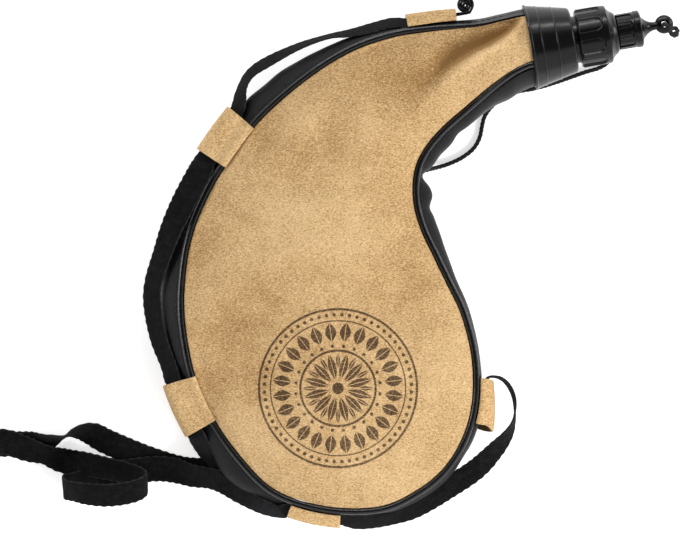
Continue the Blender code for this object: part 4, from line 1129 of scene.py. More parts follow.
def geometry_tree(name, inputs):
    """A tree with a geometry input and output and the named inputs between them."""
    tree = bpy.data.node_groups.new(name, "GeometryNodeTree")
    tree.interface.new_socket("Geometry", in_out="INPUT", socket_type="NodeSocketGeometry")
    for label, value in inputs.items():
        kind = "NodeSocketInt" if isinstance(value, int) else "NodeSocketFloat"
        tree.interface.new_socket(label, in_out="INPUT", socket_type=kind).default_value = value
    tree.interface.new_socket("Finish", in_out="INPUT", socket_type="NodeSocketMaterial")
    tree.interface.new_socket("Geometry", in_out="OUTPUT", socket_type="NodeSocketGeometry")
    return tree, tree.nodes.new("NodeGroupInput").outputs


def finish_tree(tree, geometry, surface):
    """Ends a tree: real meshes, smooth, with their material."""
    real = result(tree, "GeometryNodeRealizeInstances", {"Geometry": geometry})
    smooth = result(tree, "GeometryNodeSetShadeSmooth", {"Geometry": real})
    dressed = result(tree, "GeometryNodeSetMaterial", {"Geometry": smooth, "Material": surface})
    tree.links.new(dressed, tree.nodes.new("NodeGroupOutput").inputs[0])
    return tree


def stitch_tree():
    """Short rounded stitches along a guide line, each turned a little to the line."""
    inputs = {"Pitch": 0.004, "Length": 0.003, "Radius": 0.0003, "Slant": 0.12}
    tree, given = geometry_tree("Stitches along a line", inputs)
    line = result(tree, "GeometryNodeMeshToCurve", {"Mesh": given["Geometry"]})
    spaced = {"Curve": line, "Length": given["Pitch"]}
    points = put(tree, "GeometryNodeCurveToPoints", spaced, mode="LENGTH").outputs
    round_ball = {"Segments": 8, "Rings": 6, "Radius": given["Radius"]}
    ball = result(tree, "GeometryNodeMeshUVSphere", round_ball)
    stretch = calc(tree, "DIVIDE", times(tree, given["Length"], 0.5), given["Radius"])
    size = result(tree, "ShaderNodeCombineXYZ", {0: 1.0, 1: 1.0, 2: stretch})
    stitch = result(tree, "GeometryNodeTransform", {"Geometry": ball, "Scale": size})
    tip = result(tree, "ShaderNodeCombineXYZ", {0: 0.0, 1: given["Slant"], 2: 0.0})
    turned = {"Rotation": points["Rotation"], "Rotate By": tip}
    leaned = result(tree, "FunctionNodeRotateRotation", turned, rotation_space="LOCAL")
    placed = {"Points": points["Points"], "Instance": stitch, "Rotation": leaned}
    return finish_tree(tree, result(tree, "GeometryNodeInstanceOnPoints", placed), given["Finish"])


def thread_tree():
    """A screw thread's ridge: a spiral with a small blunt section, about the Z axis."""
    inputs = {"Turns": 3.0, "Radius": 0.0146, "Pitch": 0.003, "Ridge": 0.0003, "Steps": 48}
    tree, given = geometry_tree("Screw thread", inputs)
    winding = {
        "Resolution": given["Steps"],
        "Rotations": given["Turns"],
        "Start Radius": given["Radius"],
        "End Radius": given["Radius"],
        "Height": times(tree, given["Turns"], given["Pitch"]),
    }
    spiral = result(tree, "GeometryNodeCurveSpiral", winding)
    return finish_tree(tree, swept(tree, spiral, given["Ridge"], 8), given["Finish"])


def cord_tree(strands=3):
    """A laid cord: strands that wind round a guide line, lifted a little off the floor."""
    tree, given = geometry_tree("Laid cord", {"Radius": 0.00125, "Twist": 0.0085, "Step": CORD_STEP})
    line = result(tree, "GeometryNodeMeshToCurve", {"Mesh": given["Geometry"]})
    spaced = {"Curve": line, "Length": given["Step"]}
    fine = result(tree, "GeometryNodeResampleCurve", spaced, mode="LENGTH")
    run = put(tree, "GeometryNodeSplineParameter").outputs["Length"]
    normal = result(tree, "GeometryNodeInputNormal")
    other = vector(tree, "CROSS_PRODUCT", result(tree, "GeometryNodeInputTangent"), normal)
    turns = times(tree, calc(tree, "DIVIDE", run, given["Twist"]), 2 * math.pi)
    orbit, radius = (times(tree, given["Radius"], share) for share in STRAND_SHARES)
    joined = put(tree, "GeometryNodeJoinGeometry")
    for i in range(strands):
        angle = calc(tree, "ADD", turns, 2 * math.pi * i / strands)
        offset = (0.0, 0.0, CORD_LIFT)
        for axis, wave in ((normal, "COSINE"), (other, "SINE")):
            share = times(tree, calc(tree, wave, angle), orbit)
            offset = vector(tree, "ADD", vector(tree, "SCALE", axis, share), offset)
        wound = result(tree, "GeometryNodeSetPosition", {"Geometry": fine, "Offset": offset})
        tree.links.new(swept(tree, wound, radius, 10), joined.inputs[0])
    return finish_tree(tree, joined.outputs[0], given["Finish"])


def line_mesh(name, points):
    mesh = bpy.data.meshes.new(name)
    edges = [(i, i + 1) for i in range(len(points) - 1)]
    mesh.from_pydata([tuple(p) for p in points], edges, [])
    return mesh


# Finishes


def blank_finish(name, base, roughness, **sockets):
    made = bpy.data.materials.new(name)
    made.use_nodes = True
    shader = made.node_tree.nodes["Principled BSDF"]
    sockets = {"Base_Color": (*base, 1.0), "Roughness": roughness, **sockets}
    for key, value in sockets.items():
        shader.inputs[key.replace("_", " ")].default_value = value
    return made, made.node_tree, shader


def own_place(tree, scale=(1.0, 1.0, 1.0), rotation=(0.0, 0.0, 0.0)):
    place = put(tree, "ShaderNodeTexCoord").outputs["Object"]
    return result(tree, "ShaderNodeMapping", {"Vector": place, "Scale": scale, "Rotation": rotation})


def speckle(tree, place, scale, detail=2.0, roughness=0.5):
    inputs = {"Vector": place, "Scale": scale, "Detail": detail, "Roughness": roughness}
    return result(tree, "ShaderNodeTexNoise", inputs)


def ramp(tree, value, stops):
    made = put(tree, "ShaderNodeValToRGB", {0: value})
    band = made.color_ramp
    while len(band.elements) < len(stops):
        band.elements.new(0.5)
    for element, (at, tone) in zip(band.elements, stops):
        element.position = at
        element.color = (*tone, 1.0)
    return made.outputs[0]


def raised(tree, shader, height, distance, strength):
    bump = result(tree, "ShaderNodeBump", {"Height": height, "Distance": distance, "Strength": strength})
    tree.links.new(bump, shader.inputs["Normal"])


def below_mask(tree, value, limit, soft):
    """1 below a limit, 0 above it, with a soft edge."""
    return ranged(tree, value, limit - soft, limit + soft, 1.0, 0.0)


def ornament_mask(tree, centre, tilt):
    """A plain stamped rosette: rings, a rope of dots, a wreath of leaves and a flower."""
    place = put(tree, "ShaderNodeTexCoord").outputs["Object"]
    moved = {"Vector": vector(tree, "SUBTRACT", place, (*centre, 0.0)), "Angle": tilt}
    moved = result(tree, "ShaderNodeVectorRotate", moved, rotation_type="Z_AXIS")
    x, y, _ = put(tree, "ShaderNodeSeparateXYZ", {0: moved}).outputs
    radius = hypotenuse(tree, x, y)
    angle = calc(tree, "ARCTAN2", y, x)

    def cell(count, shift=0.0):
        """Distance round the circle from the nearest of so many evenly spaced places."""
        turned = calc(tree, "ADD", times(tree, angle, count / (2 * math.pi)), shift + count)
        part = calc(tree, "SUBTRACT", calc(tree, "FRACT", turned), 0.5)
        return times(tree, times(tree, part, 2 * math.pi / count), radius)

    def disc(size):
        return below_mask(tree, radius, size, INK_EDGE)

    def ring(inner, outer):
        gap = calc(tree, "ABSOLUTE", calc(tree, "SUBTRACT", radius, (inner + outer) / 2))
        return below_mask(tree, gap, (outer - inner) / 2, RING_EDGE)

    def dots(count, at, size):
        far = hypotenuse(tree, cell(count), calc(tree, "SUBTRACT", radius, at))
        return below_mask(tree, far, size, INK_EDGE)

    def leaves(count, low, high, width, shift):
        half = times(tree, calc(tree, "SINE", ranged(tree, radius, low, high, 0.0, math.pi)), width)
        away = calc(tree, "ABSOLUTE", cell(count, shift))
        vein = below_mask(tree, away, LEAF_VEIN, LEAF_VEIN_EDGE)
        body = below_mask(tree, calc(tree, "SUBTRACT", away, half), -INK_EDGE / 2, INK_EDGE)
        return times(tree, body, calc(tree, "SUBTRACT", 1.0, vein))

    makers = {"disc": disc, "ring": ring, "dots": dots, "leaves": leaves}
    total = 0.0
    for kind, *sizes in ROSETTE:
        total = calc(tree, "MAXIMUM", total, makers[kind](*sizes))
    return total


def suede_finish(name, plan, finishes, lift=1.0, stamped_and_shaded=False):
    """Napped suede: short fibres in tufts, brushed patches and, when stamped, a stamped ornament and painted
    shade that darkens the hollows and the crease and lightens the swellings.
    """
    colours = (finishes.suede_dark, finishes.suede_mid, finishes.suede_light)
    tones = [tuple(min(c * lift, 1.0) for c in colour) for colour in colours]
    gloss = {"Specular_IOR_Level": 0.15, "Sheen_Weight": 0.10, "Sheen_Roughness": 0.45}
    warm = (0.95, 0.80, 0.58, 1.0)
    made, tree, shader = blank_finish(name, tones[1], 0.95, Sheen_Tint=warm, **gloss)
    brushed = own_place(tree, (1.0, 1.7, 1.0), (0.0, 0.0, math.radians(24)))
    plain = own_place(tree)
    patches = speckle(tree, plain, 24.0)
    clouds = speckle(tree, plain, 90.0)
    tufts = speckle(tree, brushed, 760.0, 3.0, 0.6)
    fibres = speckle(tree, brushed, 1700.0, 2.0, 0.6)
    level = times(tree, patches, 0.10)
    for part, share in ((clouds, 0.08), (tufts, 0.50), (fibres, 0.32)):
        level = calc(tree, "MULTIPLY_ADD", part, share, level)
    if stamped_and_shaded:
        # Painted shade and light: the panel's attribute darkens the suede in its hollows and crease and
        # lightens it on its swellings.
        hollow_shade = put(tree, "ShaderNodeAttribute", attribute_name="painted_shade").outputs["Fac"]
        level = calc(tree, "MULTIPLY_ADD", hollow_shade, 0.017, level)
    shade = ramp(tree, level, list(zip((0.39, 0.50, 0.61), tones)))
    if stamped_and_shaded:
        mask = ornament_mask(tree, plan.place(*ROSETTE_PLACE_SHARES), plan.mouth.tilt)
        share = times(tree, mask, ranged(tree, level, 0.46, 0.64, 0.97, 0.62))
        inked = {0: share, 6: shade, 7: (*finishes.ink, 1.0)}
        shade = put(tree, "ShaderNodeMix", inked, data_type="RGBA").outputs[2]
    tree.links.new(shade, shader.inputs["Base Color"])
    height = calc(tree, "MULTIPLY_ADD", tufts, 0.65, times(tree, fibres, 0.35))
    raised(tree, shader, height, 0.0016, 0.8)
    return made


def grained_finish(name, base, roughness, grain, distance, shine):
    """Leatherette or moulded skin: a pebbled grain with fine pores and worn, uneven gloss."""
    made, tree, shader = blank_finish(name, base, roughness, Specular_IOR_Level=shine)
    place = own_place(tree)
    net = {"Vector": place, "Scale": grain}
    cells = put(tree, "ShaderNodeTexVoronoi", net, feature="DISTANCE_TO_EDGE").outputs["Distance"]
    pebbles = ranged(tree, cells, 0.0, 0.25)
    wrinkles = speckle(tree, place, grain * 0.12, 4.0, 0.6)
    height = calc(tree, "MULTIPLY_ADD", wrinkles, 0.8, times(tree, pebbles, 0.35))
    raised(tree, shader, height, distance, 0.5)
    worn = speckle(tree, place, grain * 0.05, 3.0)
    gloss = ranged(tree, worn, 0.3, 0.7, roughness - 0.07, roughness + 0.10)
    tree.links.new(gloss, shader.inputs["Roughness"])
    return made


def plastic_finish(name, base):
    """Black moulded plastic: glossy, with fine scuffs and a little waviness from the mould."""
    made, tree, shader = blank_finish(name, base, 0.18, Specular_IOR_Level=0.28)
    scuffs = speckle(tree, own_place(tree, (1.0, 9.0, 9.0)), 140.0, 4.0, 0.65)
    tree.links.new(ranged(tree, scuffs, 0.35, 0.75, 0.20, 0.27), shader.inputs["Roughness"])
    waves = speckle(tree, own_place(tree), 160.0)
    fine = speckle(tree, own_place(tree), 1300.0)
    raised(tree, shader, calc(tree, "MULTIPLY_ADD", fine, 0.15, waves), 0.00008, 0.2)
    return made


def webbing_finish(name, base):
    """Black cotton webbing: ribs across the strap with warp threads over them."""
    gloss = {"Specular_IOR_Level": 0.07, "Sheen_Weight": 0.05, "Sheen_Roughness": 0.5}
    cool = (0.55, 0.55, 0.60, 1.0)
    made, tree, shader = blank_finish(name, base, 0.92, Sheen_Tint=cool, **gloss)
    mapped = result(tree, "ShaderNodeUVMap", uv_map="UVMap")
    across, along, _ = put(tree, "ShaderNodeSeparateXYZ", {0: mapped}).outputs
    warp = calc(tree, "SINE", times(tree, across, 2 * math.pi / WARP_PITCH))
    weft = calc(tree, "SINE", times(tree, along, 2 * math.pi / WEFT_PITCH))
    weave = times(tree, warp, weft)
    fuzz = speckle(tree, own_place(tree), 1900.0, 3.0, 0.7)
    height = calc(tree, "MULTIPLY_ADD", weave, 0.35, times(tree, fuzz, 0.8))
    raised(tree, shader, height, 0.00045, 0.7)
    faded = speckle(tree, own_place(tree), 260.0, 4.0, 0.65)
    level = calc(tree, "MULTIPLY_ADD", fuzz, 0.65, times(tree, faded, 0.35))
    level = calc(tree, "MULTIPLY_ADD", weave, 0.07, level)
    selvedge = ranged(tree, calc(tree, "ABSOLUTE", across), *SELVEDGE, 0.0, 0.24)
    level = calc(tree, "ADD", level, selvedge)
    tones = [(0.40, 0.45), (0.50, 1.0), (0.62, 2.6), (0.80, 7.0)]
    shade = ramp(tree, level, [(at, tuple(c * share for c in base)) for at, share in tones])
    tree.links.new(shade, shader.inputs["Base Color"])
    return made


def thread_finish(name, base, roughness=0.85):
    """Cotton or braided thread: fine fibres along it."""
    made, tree, shader = blank_finish(name, base, roughness, Sheen_Weight=0.10)
    fibres = speckle(tree, own_place(tree), 2600.0, 3.0, 0.7)
    raised(tree, shader, fibres, 0.00018, 0.6)
    tones = [(at, tuple(c * share for c in base)) for at, share in ((0.38, 0.6), (0.62, 1.9))]
    tree.links.new(ramp(tree, fibres, tones), shader.inputs["Base Color"])
    return made


def matte_finish(name, base, roughness, metallic=0.0):
    """Rubber, latex, brushed steel, or the keepers' inner face in a darker suede tone that is painted shade:
    slightly uneven.
    """
    made, tree, shader = blank_finish(name, base, roughness, Metallic=metallic)
    place = own_place(tree, (1.0, 12.0, 12.0) if metallic else (1.0, 1.0, 1.0))
    raised(tree, shader, speckle(tree, place, 700.0, 3.0, 0.6), 0.00010, 0.4)
    return made


def finish(name):
    """A finish by name, made once."""
    known = bpy.data.materials.get(name)
    if known:
        return known
    scene = bpy.context.scene
    tones = scene.bota_finishes
    plan = BagPlan(scene)
    makers = {
        "panel suede": lambda: suede_finish(name, plan, tones, 1.0, True),
        "back suede": lambda: suede_finish(name, plan, tones, 0.96),
        "keeper suede": lambda: suede_finish(name, plan, tones, 1.06),
        # The keepers' inner face: a darker copy of the suede, painted shade inside the loops.
        "keeper inside shade": lambda: matte_finish(name, tuple(0.55 * c for c in tones.suede_mid), 0.95),
        "black leatherette": lambda: grained_finish(name, tones.leatherette, 0.38, 1300.0, 0.0005, 0.18),
        "black piping": lambda: grained_finish(name, tones.piping, 0.24, 2200.0, 0.0001, 0.50),
        "black plastic": lambda: plastic_finish(name, tones.plastic),
        "black rubber": lambda: matte_finish(name, tones.rubber, 0.72),
        "black latex": lambda: matte_finish(name, tones.latex, 0.60),
        "steel band": lambda: matte_finish(name, tones.steel, 0.35, 1.0),
        "black webbing": lambda: webbing_finish(name, tuple(tones.webbing)),
        "black cord": lambda: thread_finish(name, tuple(tones.cord)),
        "black thread": lambda: thread_finish(name, tuple(tones.webbing), 0.7),
    }
    return makers[name]()


def seen_directly(tree):
    """1 for what the camera sees straight, in gloss or through glass, 0 for other rays."""
    path = put(tree, "ShaderNodeLightPath").outputs
    seen = calc(tree, "MAXIMUM", path["Is Camera Ray"], path["Is Glossy Ray"])
    return calc(tree, "MAXIMUM", seen, path["Is Transmission Ray"])


# Operators


class BotaMaker:
    """What every operator of the bag shares."""

    bl_options = {"REGISTER", "UNDO"}

    def execute(self, context):
        self.make(context.scene, BagPlan(context.scene))
        return {"FINISHED"}


class BOTA_OT_stage(BotaMaker, bpy.types.Operator):
    """Adds the camera over the bag, the pale floor and the soft lights"""

    bl_idname = "bota.make_stage"
    bl_label = "Camera, floor and lights"

    def make(self, scene, plan):
        stage = scene.bota_stage
        right = Vector((plan.cos, -plan.sin, 0.0))
        up = Vector((plan.sin, plan.cos, 0.0))
        lens = bpy.data.cameras.new("camera")
        lens.sensor_width = 36.0
        lens.lens = lens.sensor_width * (stage.camera_height - stage.focus_height) / stage.view_width
        lens.clip_start, lens.clip_end = 0.05, 50.0
        camera = bpy.data.objects.new("camera", lens)
        scene.collection.objects.link(camera)
        camera.location = right * stage.view_right + up * stage.view_up
        camera.location.z = stage.camera_height
        camera.rotation_euler = (0.0, 0.0, -plan.mouth.tilt)
        scene.camera = camera
        self.add_floor(stage)
        self.add_room(scene)
        self.add_lamps(scene)
        self.add_card()
        scene.view_settings.view_transform = "Standard"

    def add_floor(self, stage):
        half = stage.floor_size / 2
        paint, tree, shader = blank_finish("floor paint", (0.82, 0.82, 0.82), 0.9, Specular_IOR_Level=0.0)
        glow = {"Strength": times(tree, seen_directly(tree), 0.56)}
        glow = result(tree, "ShaderNodeEmission", glow)
        both = result(tree, "ShaderNodeAddShader", {0: shader.outputs[0], 1: glow})
        tree.links.new(both, tree.nodes["Material Output"].inputs["Surface"])
        flat_sheet("floor", (-half, half, -half, half), -FLOOR_DROP, paint)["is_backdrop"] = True

    def add_room(self, scene):
        world = bpy.data.worlds.new("white room")
        world.use_nodes = True
        tree = world.node_tree
        strength = calc(tree, "MULTIPLY_ADD", seen_directly(tree), 0.58, 0.42)
        tree.links.new(strength, tree.nodes["Background"].inputs["Strength"])
        tree.nodes["Background"].inputs["Color"].default_value = (1.0, 1.0, 1.0, 1.0)
        scene.world = world

    def add_lamps(self, scene):
        for name, east, north, height, width, depth, power in LAMPS:
            light = bpy.data.lights.new(name, "AREA")
            light.shape = "RECTANGLE"
            light.size, light.size_y = width, depth
            light.energy = power
            lamp = bpy.data.objects.new(name, light)
            scene.collection.objects.link(lamp)
            lamp.location = (east, north, height)
            lamp.visible_glossy = name != "key"
            lamp.rotation_euler = (-lamp.location).to_track_quat("-Z", "Y").to_euler()

    def add_card(self):
        """A black card overhead, which glossy surfaces that face up show as their dark band."""
        black, _, _ = blank_finish("card black", (0.01, 0.01, 0.01), 1.0, Specular_IOR_Level=0.0)
        card = flat_sheet("overhead_card", CARD_SIDES, CARD_HEIGHT, black)
        for kind in ("diffuse", "shadow", "camera", "transmission"):
            setattr(card, "visible_" + kind, False)
        card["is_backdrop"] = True


class BOTA_OT_tether(BotaMaker, bpy.types.Operator):
    """Lays the thin cord from the spout cap's eyelet to the seam inside the bend"""

    bl_idname = "bota.make_tether"
    bl_label = "Tether cord"

    def make(self, scene, plan):
        strap = scene.bota_strap
        tree = cord_tree()
        knot = self.knot(plan, strap, tree)
        line = smooth_rows([*TETHER_LEAD_ROUTE, *TETHER_CORD_ROUTE], 10)
        gaps = np.linalg.norm(line - np.array(TETHER_CORD_ROUTE[0]), axis=1)
        split = int(np.argmin(gaps))
        lead_line = even_rows(line[: split + 1], CORD_STEP)
        cord_line = even_rows(line[split:], CORD_STEP)
        lead = self.strands("tether_lead_strands", lead_line, strap, tree)
        cord = self.strands("tether_cord_strands", cord_line, strap, tree)
        carry(lead, "filler_lift", "black_cord", "tether_lead")
        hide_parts("tether_cord")
        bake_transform(cord)

    def strands(self, name, line, strap, tree):
        values = {"Radius": strap.tether_radius, "Twist": strap.tether_twist}
        return grown(name, line_mesh("tether_line", line), tree, values, "black cord")

    def knot(self, plan, strap, tree):
        """The cord's knot over the eyelet, its pass through the eye and the tail into the lead."""
        mouth = plan.mouth
        ball = ball_centre(plan)
        top = mouth.ball_thickness / 2 + plan.bag.clearance + strap.tether_radius
        side = mouth.ball_radius
        tail = np.array(TETHER_LEAD_ROUTE[0]) - ball
        points = [ball + (1.35 * x * side, 1.2 * y * side, top + 1.1 * z * side) for x, y, z in KNOT_SHARES]
        below = [
            (0.0, -top),
            (tail[0] * 0.08, mix(-top, tail[2], 0.55)),
            (tail[0] * 0.32, mix(-top, tail[2], 0.90)),
            (tail[0] * 0.62, tail[2]),
            (tail[0], tail[2]),
        ]
        points += [ball + (x, 0.0, z) for x, z in below]
        line = even_rows(smooth_rows(points, 8), CORD_STEP)
        inner = even_rows(smooth_rows(TETHER_LEAD_ROUTE, 10), CORD_STEP)[:12]
        made = self.strands("tether_knot_strands", line, strap, tree)
        core = np.vstack([line[-3:], inner[1:]])
        join_meshes(made, tube_mesh("tether_core", core, 0.62 * strap.tether_radius, 8))
        return carry(made, "spout_cap", "black_cord", "tether_knot")


def ball_centre(plan):
    mouth = plan.mouth
    along = mouthpiece_marks(plan)["cap_top"] + mouth.finial_length + mouth.ball_radius * 0.75
    return np.array((plan.neck_centre[0] + along, plan.neck_centre[1], mouth.axis_height))


def mouthpiece_marks(plan):
    """Places along the mouthpiece's axis, counted from the collar's rim."""
    mouth, clear = plan.mouth, plan.bag.clearance
    tube_end = mouth.collar_length + mouth.tube_reach
    filler_face = tube_end + mouth.gasket + 2 * clear
    filler_top = filler_face + mouth.filler_top_wall
    shoulder_top = filler_top + mouth.shoulder_length
    nozzle_tip = shoulder_top + mouth.nozzle_length
    cap_start = shoulder_top + clear
    return {
        "tube_end": tube_end,
        "filler_start": mouth.collar_length + mouth.filler_gap,
        "filler_face": filler_face,
        "filler_top": filler_top,
        "shoulder_top": shoulder_top,
        "nozzle_tip": nozzle_tip,
        "cap_start": cap_start,
        "cap_top": cap_start + mouth.cap_length,
        "cap_face": nozzle_tip + mouth.seal + 2 * clear,
    }


def join_meshes(obj, mesh):
    """Adds a mesh to a piece's own mesh."""
    remade(obj.data, lambda built: built.from_mesh(mesh))
    bpy.data.meshes.remove(mesh)
    obj.data.shade_smooth()


class BOTA_OT_panels(BotaMaker, bpy.types.Operator):
    """Makes the creased suede front panel and the back panel that the bag lies on"""

    bl_idname = "bota.make_panels"
    bl_label = "Suede panels"

    def make(self, scene, plan):
        shares = 1 - (1 - np.linspace(0, 1, 49)) ** 1.35
        rows = []
        for station in plan.all_stations(plan.tucked, 150, 190):
            points = station.front(shares)
            points[:, 2] += front_relief(plan, points, shares)
            rows.append(points)
        mesh = face_up(grid_mesh("front_panel_suede", rows), 1)
        front = skin(mesh, "panel suede", plan.bag.leather)
        # This attribute is painted shade and light for the suede: negative in the hollows and deepest in the
        # crease, where it darkens the colour, and positive on the swellings, where it lightens it.
        places = np.array([tuple(v.co) for v in mesh.vertices])
        painted_shade = mesh.attributes.new("painted_shade", "FLOAT", "POINT")
        shade = broad_relief(plan, places) - 0.7 * np.maximum(crease_depth(plan, places), 0)
        painted_shade.data.foreach_set("value", shade / MM)
        carry(front, "bag", "tan_suede", "front_panel")
        shares = 1 - (1 - np.linspace(0, 1, 33)) ** 1.2
        rows = []
        for station in plan.all_stations(plan.tucked, 90, 120):
            points = station.back(shares)
            lifted = np.clip(points[:, 2] / BACK_FADE, 0, 1) * (1 - station.round)
            edge = 1 - smooth_step(0.93, 1.0, shares)
            crinkle = WAVES["back crinkle"][0] * MM + waves(points * (1, 1, 0), "back crinkle")
            points[:, 2] += lifted * edge * crinkle
            rows.append(points)
        mesh = face_up(grid_mesh("back_panel_suede", rows), -1)
        carry(skin(mesh, "back suede", plan.bag.leather), "bag", "tan_suede", "back_panel")


def face_up(mesh, sign):
    """Merges what falls together and turns an open sheet so that most of it faces up or down."""

    def turned(built):
        merged_and_turned(built, 20 * MERGE)
        if sum(face.normal.z * face.calc_area() for face in built.faces) * sign < 0:
            bmesh.ops.reverse_faces(built, faces=built.faces)

    return remade(mesh, turned)


class BOTA_OT_bladder(BotaMaker, bpy.types.Operator):
    """Makes the inner bladder, which follows the panels' hollows, and its clamp"""

    bl_idname = "bota.make_bladder"
    bl_label = "Bladder and clamp"

    def make(self, scene, plan):
        bag, mouth = plan.bag, plan.mouth
        clear = bag.clearance
        stack = bag.leather + bag.bladder_wall + 2 * clear
        depths = (mouth.tuck - 2 * clear, mouth.tuck / 2, bag.piping_radius / 4)
        neck_scale = (plan.neck_radius - stack - clear) / plan.neck_radius
        half = bag.belly_top / 2
        belly_scale = (half - bag.leather - bag.bladder_room) / half
        rows = []
        for station in plan.all_stations(depths, 60, 80):
            centre = np.array((*station.spine, mix(half, mouth.axis_height, station.round)))
            scale = mix(belly_scale, neck_scale, station.round)
            if station.round == 1.0:
                scale = (station.radius - stack - clear) / station.radius
            v = np.linspace(0, 1, 13)
            front = station.front(v)
            sunk = np.minimum(front_relief(plan, front, v), 0.0)
            front = centre + (front - centre) * scale
            front[:, 2] += sunk
            u = np.linspace(0.15, 0.85, 6)
            folds = np.minimum(gusset_relief(plan, station, u), 0.0)
            side = centre + (station.gusset(u, folds) - centre) * scale
            back = centre + (station.back(v[::-1]) - centre) * scale
            rows.append(np.vstack([front, side, back]))
        bladder = skin(face_up(grid_mesh("bladder_latex", rows), 1), "black latex", bag.bladder_wall)
        carry(orient_out(bladder), "bag", "black_latex", "bladder")
        start, end = mouth.tuck / 8, mouth.tuck * 0.65
        outer, inner = bag.leather + 2 * clear, stack
        profile = [
            (end, plan.neck_radius_at(end) - inner),
            (end, plan.neck_radius_at(end) - outer),
            (start, plan.neck_radius_at(start) - outer),
            (start, plan.neck_radius_at(start) - inner),
        ]
        clamp = turned_piece(plan, "bladder_clamp_band", profile, "steel band")
        carry(clamp, "bag", "steel_band", "bladder_clamp")


def orient_out(obj):
    """Turns an open skin so that it faces away from the middle of its box."""
    mesh = obj.data
    middle = sum((v.co for v in mesh.vertices), Vector()) / len(mesh.vertices)
    total = sum(p.normal.dot(p.center - middle) * p.area for p in mesh.polygons)
    if total < 0:
        mesh.flip_normals()
    return obj


class BOTA_OT_gusset(BotaMaker, bpy.types.Operator):
    """Makes the folded leatherette gusset, both pipings and the stitches beside them"""

    bl_idname = "bota.make_gusset"
    bl_label = "Gusset, pipings and stitches"

    def make(self, scene, plan):
        bag = plan.bag
        shares = 0.5 - 0.5 * np.cos(np.linspace(0, math.pi, 31))
        stations = plan.all_stations(plan.tucked, 210, 190)
        rows = [s.gusset(shares, gusset_relief(plan, s, shares)) for s in stations]
        gusset = skin(grid_mesh("gusset_leatherette", rows), "black leatherette", bag.gusset_leather)
        carry(orient_out(gusset), "bag", "black_leatherette", "gusset")
        outside = plan.all_stations((), 150, 200)
        for node, is_back in (("front_piping", False), ("back_piping", True)):
            line = np.array([s.piping(is_back) for s in outside])[1:-1]
            ends = [(plan.neck_centre[0] - bag.clearance, *end[1:]) for end in (line[0], line[-1])]
            line = even_rows(np.vstack([ends[0], line, ends[1]]), PIPING_STEP)
            radii = bag.piping_radius * (1 + 0.035 * ripple(line, 0.012, 4.0))
            mesh = tube_mesh(node + "_welt", line, radii, 18)
            welt = shaded(add_piece(node + "_welt", mesh, finish("black piping")))
            carry(welt, "bag", "black_piping", node)
        tree = stitch_tree()
        values = {"Pitch": bag.stitch_pitch, "Length": bag.stitch_length}
        values |= {"Radius": STITCH_RADIUS, "Slant": 0.10}
        inner = [s for s in outside if s.round < 0.98]
        for name, share in (("front_seam_stitches", 0.035), ("back_seam_stitches", 0.965)):
            at = np.array([share])
            line = [s.gusset(at, gusset_relief(plan, s, at) + STITCH_LIFT)[0] for s in inner]
            guide = line_mesh("stitch_line", even_rows(np.array(line), MM))
            carry(grown(name, guide, tree, values, "black thread"), "bag", "black_webbing")


class BOTA_OT_keepers(BotaMaker, bpy.types.Operator):
    """Makes the five suede loops that are sewn into the seams and hold the strap"""

    bl_idname = "bota.make_keepers"
    bl_label = "Suede keepers"

    def make(self, scene, plan):
        strap = scene.bota_strap
        half = strap.keeper_width / 2 / plan.seam_length
        for name, (middle, over_piping) in KEEPER_SHARES.items():
            rows = []
            for place in np.linspace(middle - half, middle + half, 25):
                section = keeper_section(plan, strap, Station(plan, place), over_piping)
                rows.append(relaxed(even_rows(smooth_rows(section, 4), KEEPER_STEP), 10))
            width = min(len(row) for row in rows)
            wanted = np.linspace(0, 1, width)
            rows = np.array([rows_at(r, lengths_along(r) / lengths_along(r)[-1], wanted) for r in rows])
            uneven = waves(rows.reshape(-1, 3), "keeper").reshape(rows.shape[:2])
            swell = np.sin(math.pi * wanted) ** 0.5
            away = unit(rows - rows.mean(axis=(0, 1)) * (1, 1, 0) - rows * (0, 0, 1))
            rows = rows + away * ((WAVES["keeper"][0] * MM + uneven) * swell)[..., None]
            if name == "keeper_right":
                rows = gaping(rows, strap.keeper_width)
            loop = add_piece(name + "_loop", grid_mesh(name + "_loop", rows), finish("keeper suede"))
            orient_from(loop, plan)
            # Inner face in a darker suede tone: painted shade inside the loop.
            loop.data.materials.append(finish("keeper inside shade"))
            shell(loop, strap.keeper_leather, 1.0).modifiers["Thickness"].material_offset = 1
            edge = loop.modifiers.new("Cut edge", "BEVEL")
            edge.width = CUT_EDGE
            edge.segments = 2
            edge.limit_method = "ANGLE"
            edge.angle_limit = math.radians(60)
            shaded(loop, 60)
            carry(loop, "bag", "tan_suede", name)


def gaping(rows, width):
    """A keeper's rows, cut and bent outwards at its mouth."""
    shares, lower, upper, out = np.array(KEEPER_MOUTH).T
    round_it = np.linspace(0, 1, rows.shape[1])
    lower, upper, out = (np.interp(round_it, shares, column) * MM for column in (lower, upper, out))
    count = len(rows) - 1
    up = np.linspace(0, 1, count + 1)[:, None]
    places = (up + (lower * (1 - up) - upper * up) / width) * count
    steps = np.arange(count + 1)
    cut = np.empty_like(rows)
    for column in range(rows.shape[1]):
        for axis in range(3):
            cut[:, column, axis] = np.interp(places[:, column], steps, rows[:, column, axis])
    outwards = unit((cut[:, rows.shape[1] // 2] - cut[:, 0]) * (1, 1, 0))[:, None, :]
    return cut + outwards * (out * (1 - up) ** 1.2)[..., None]


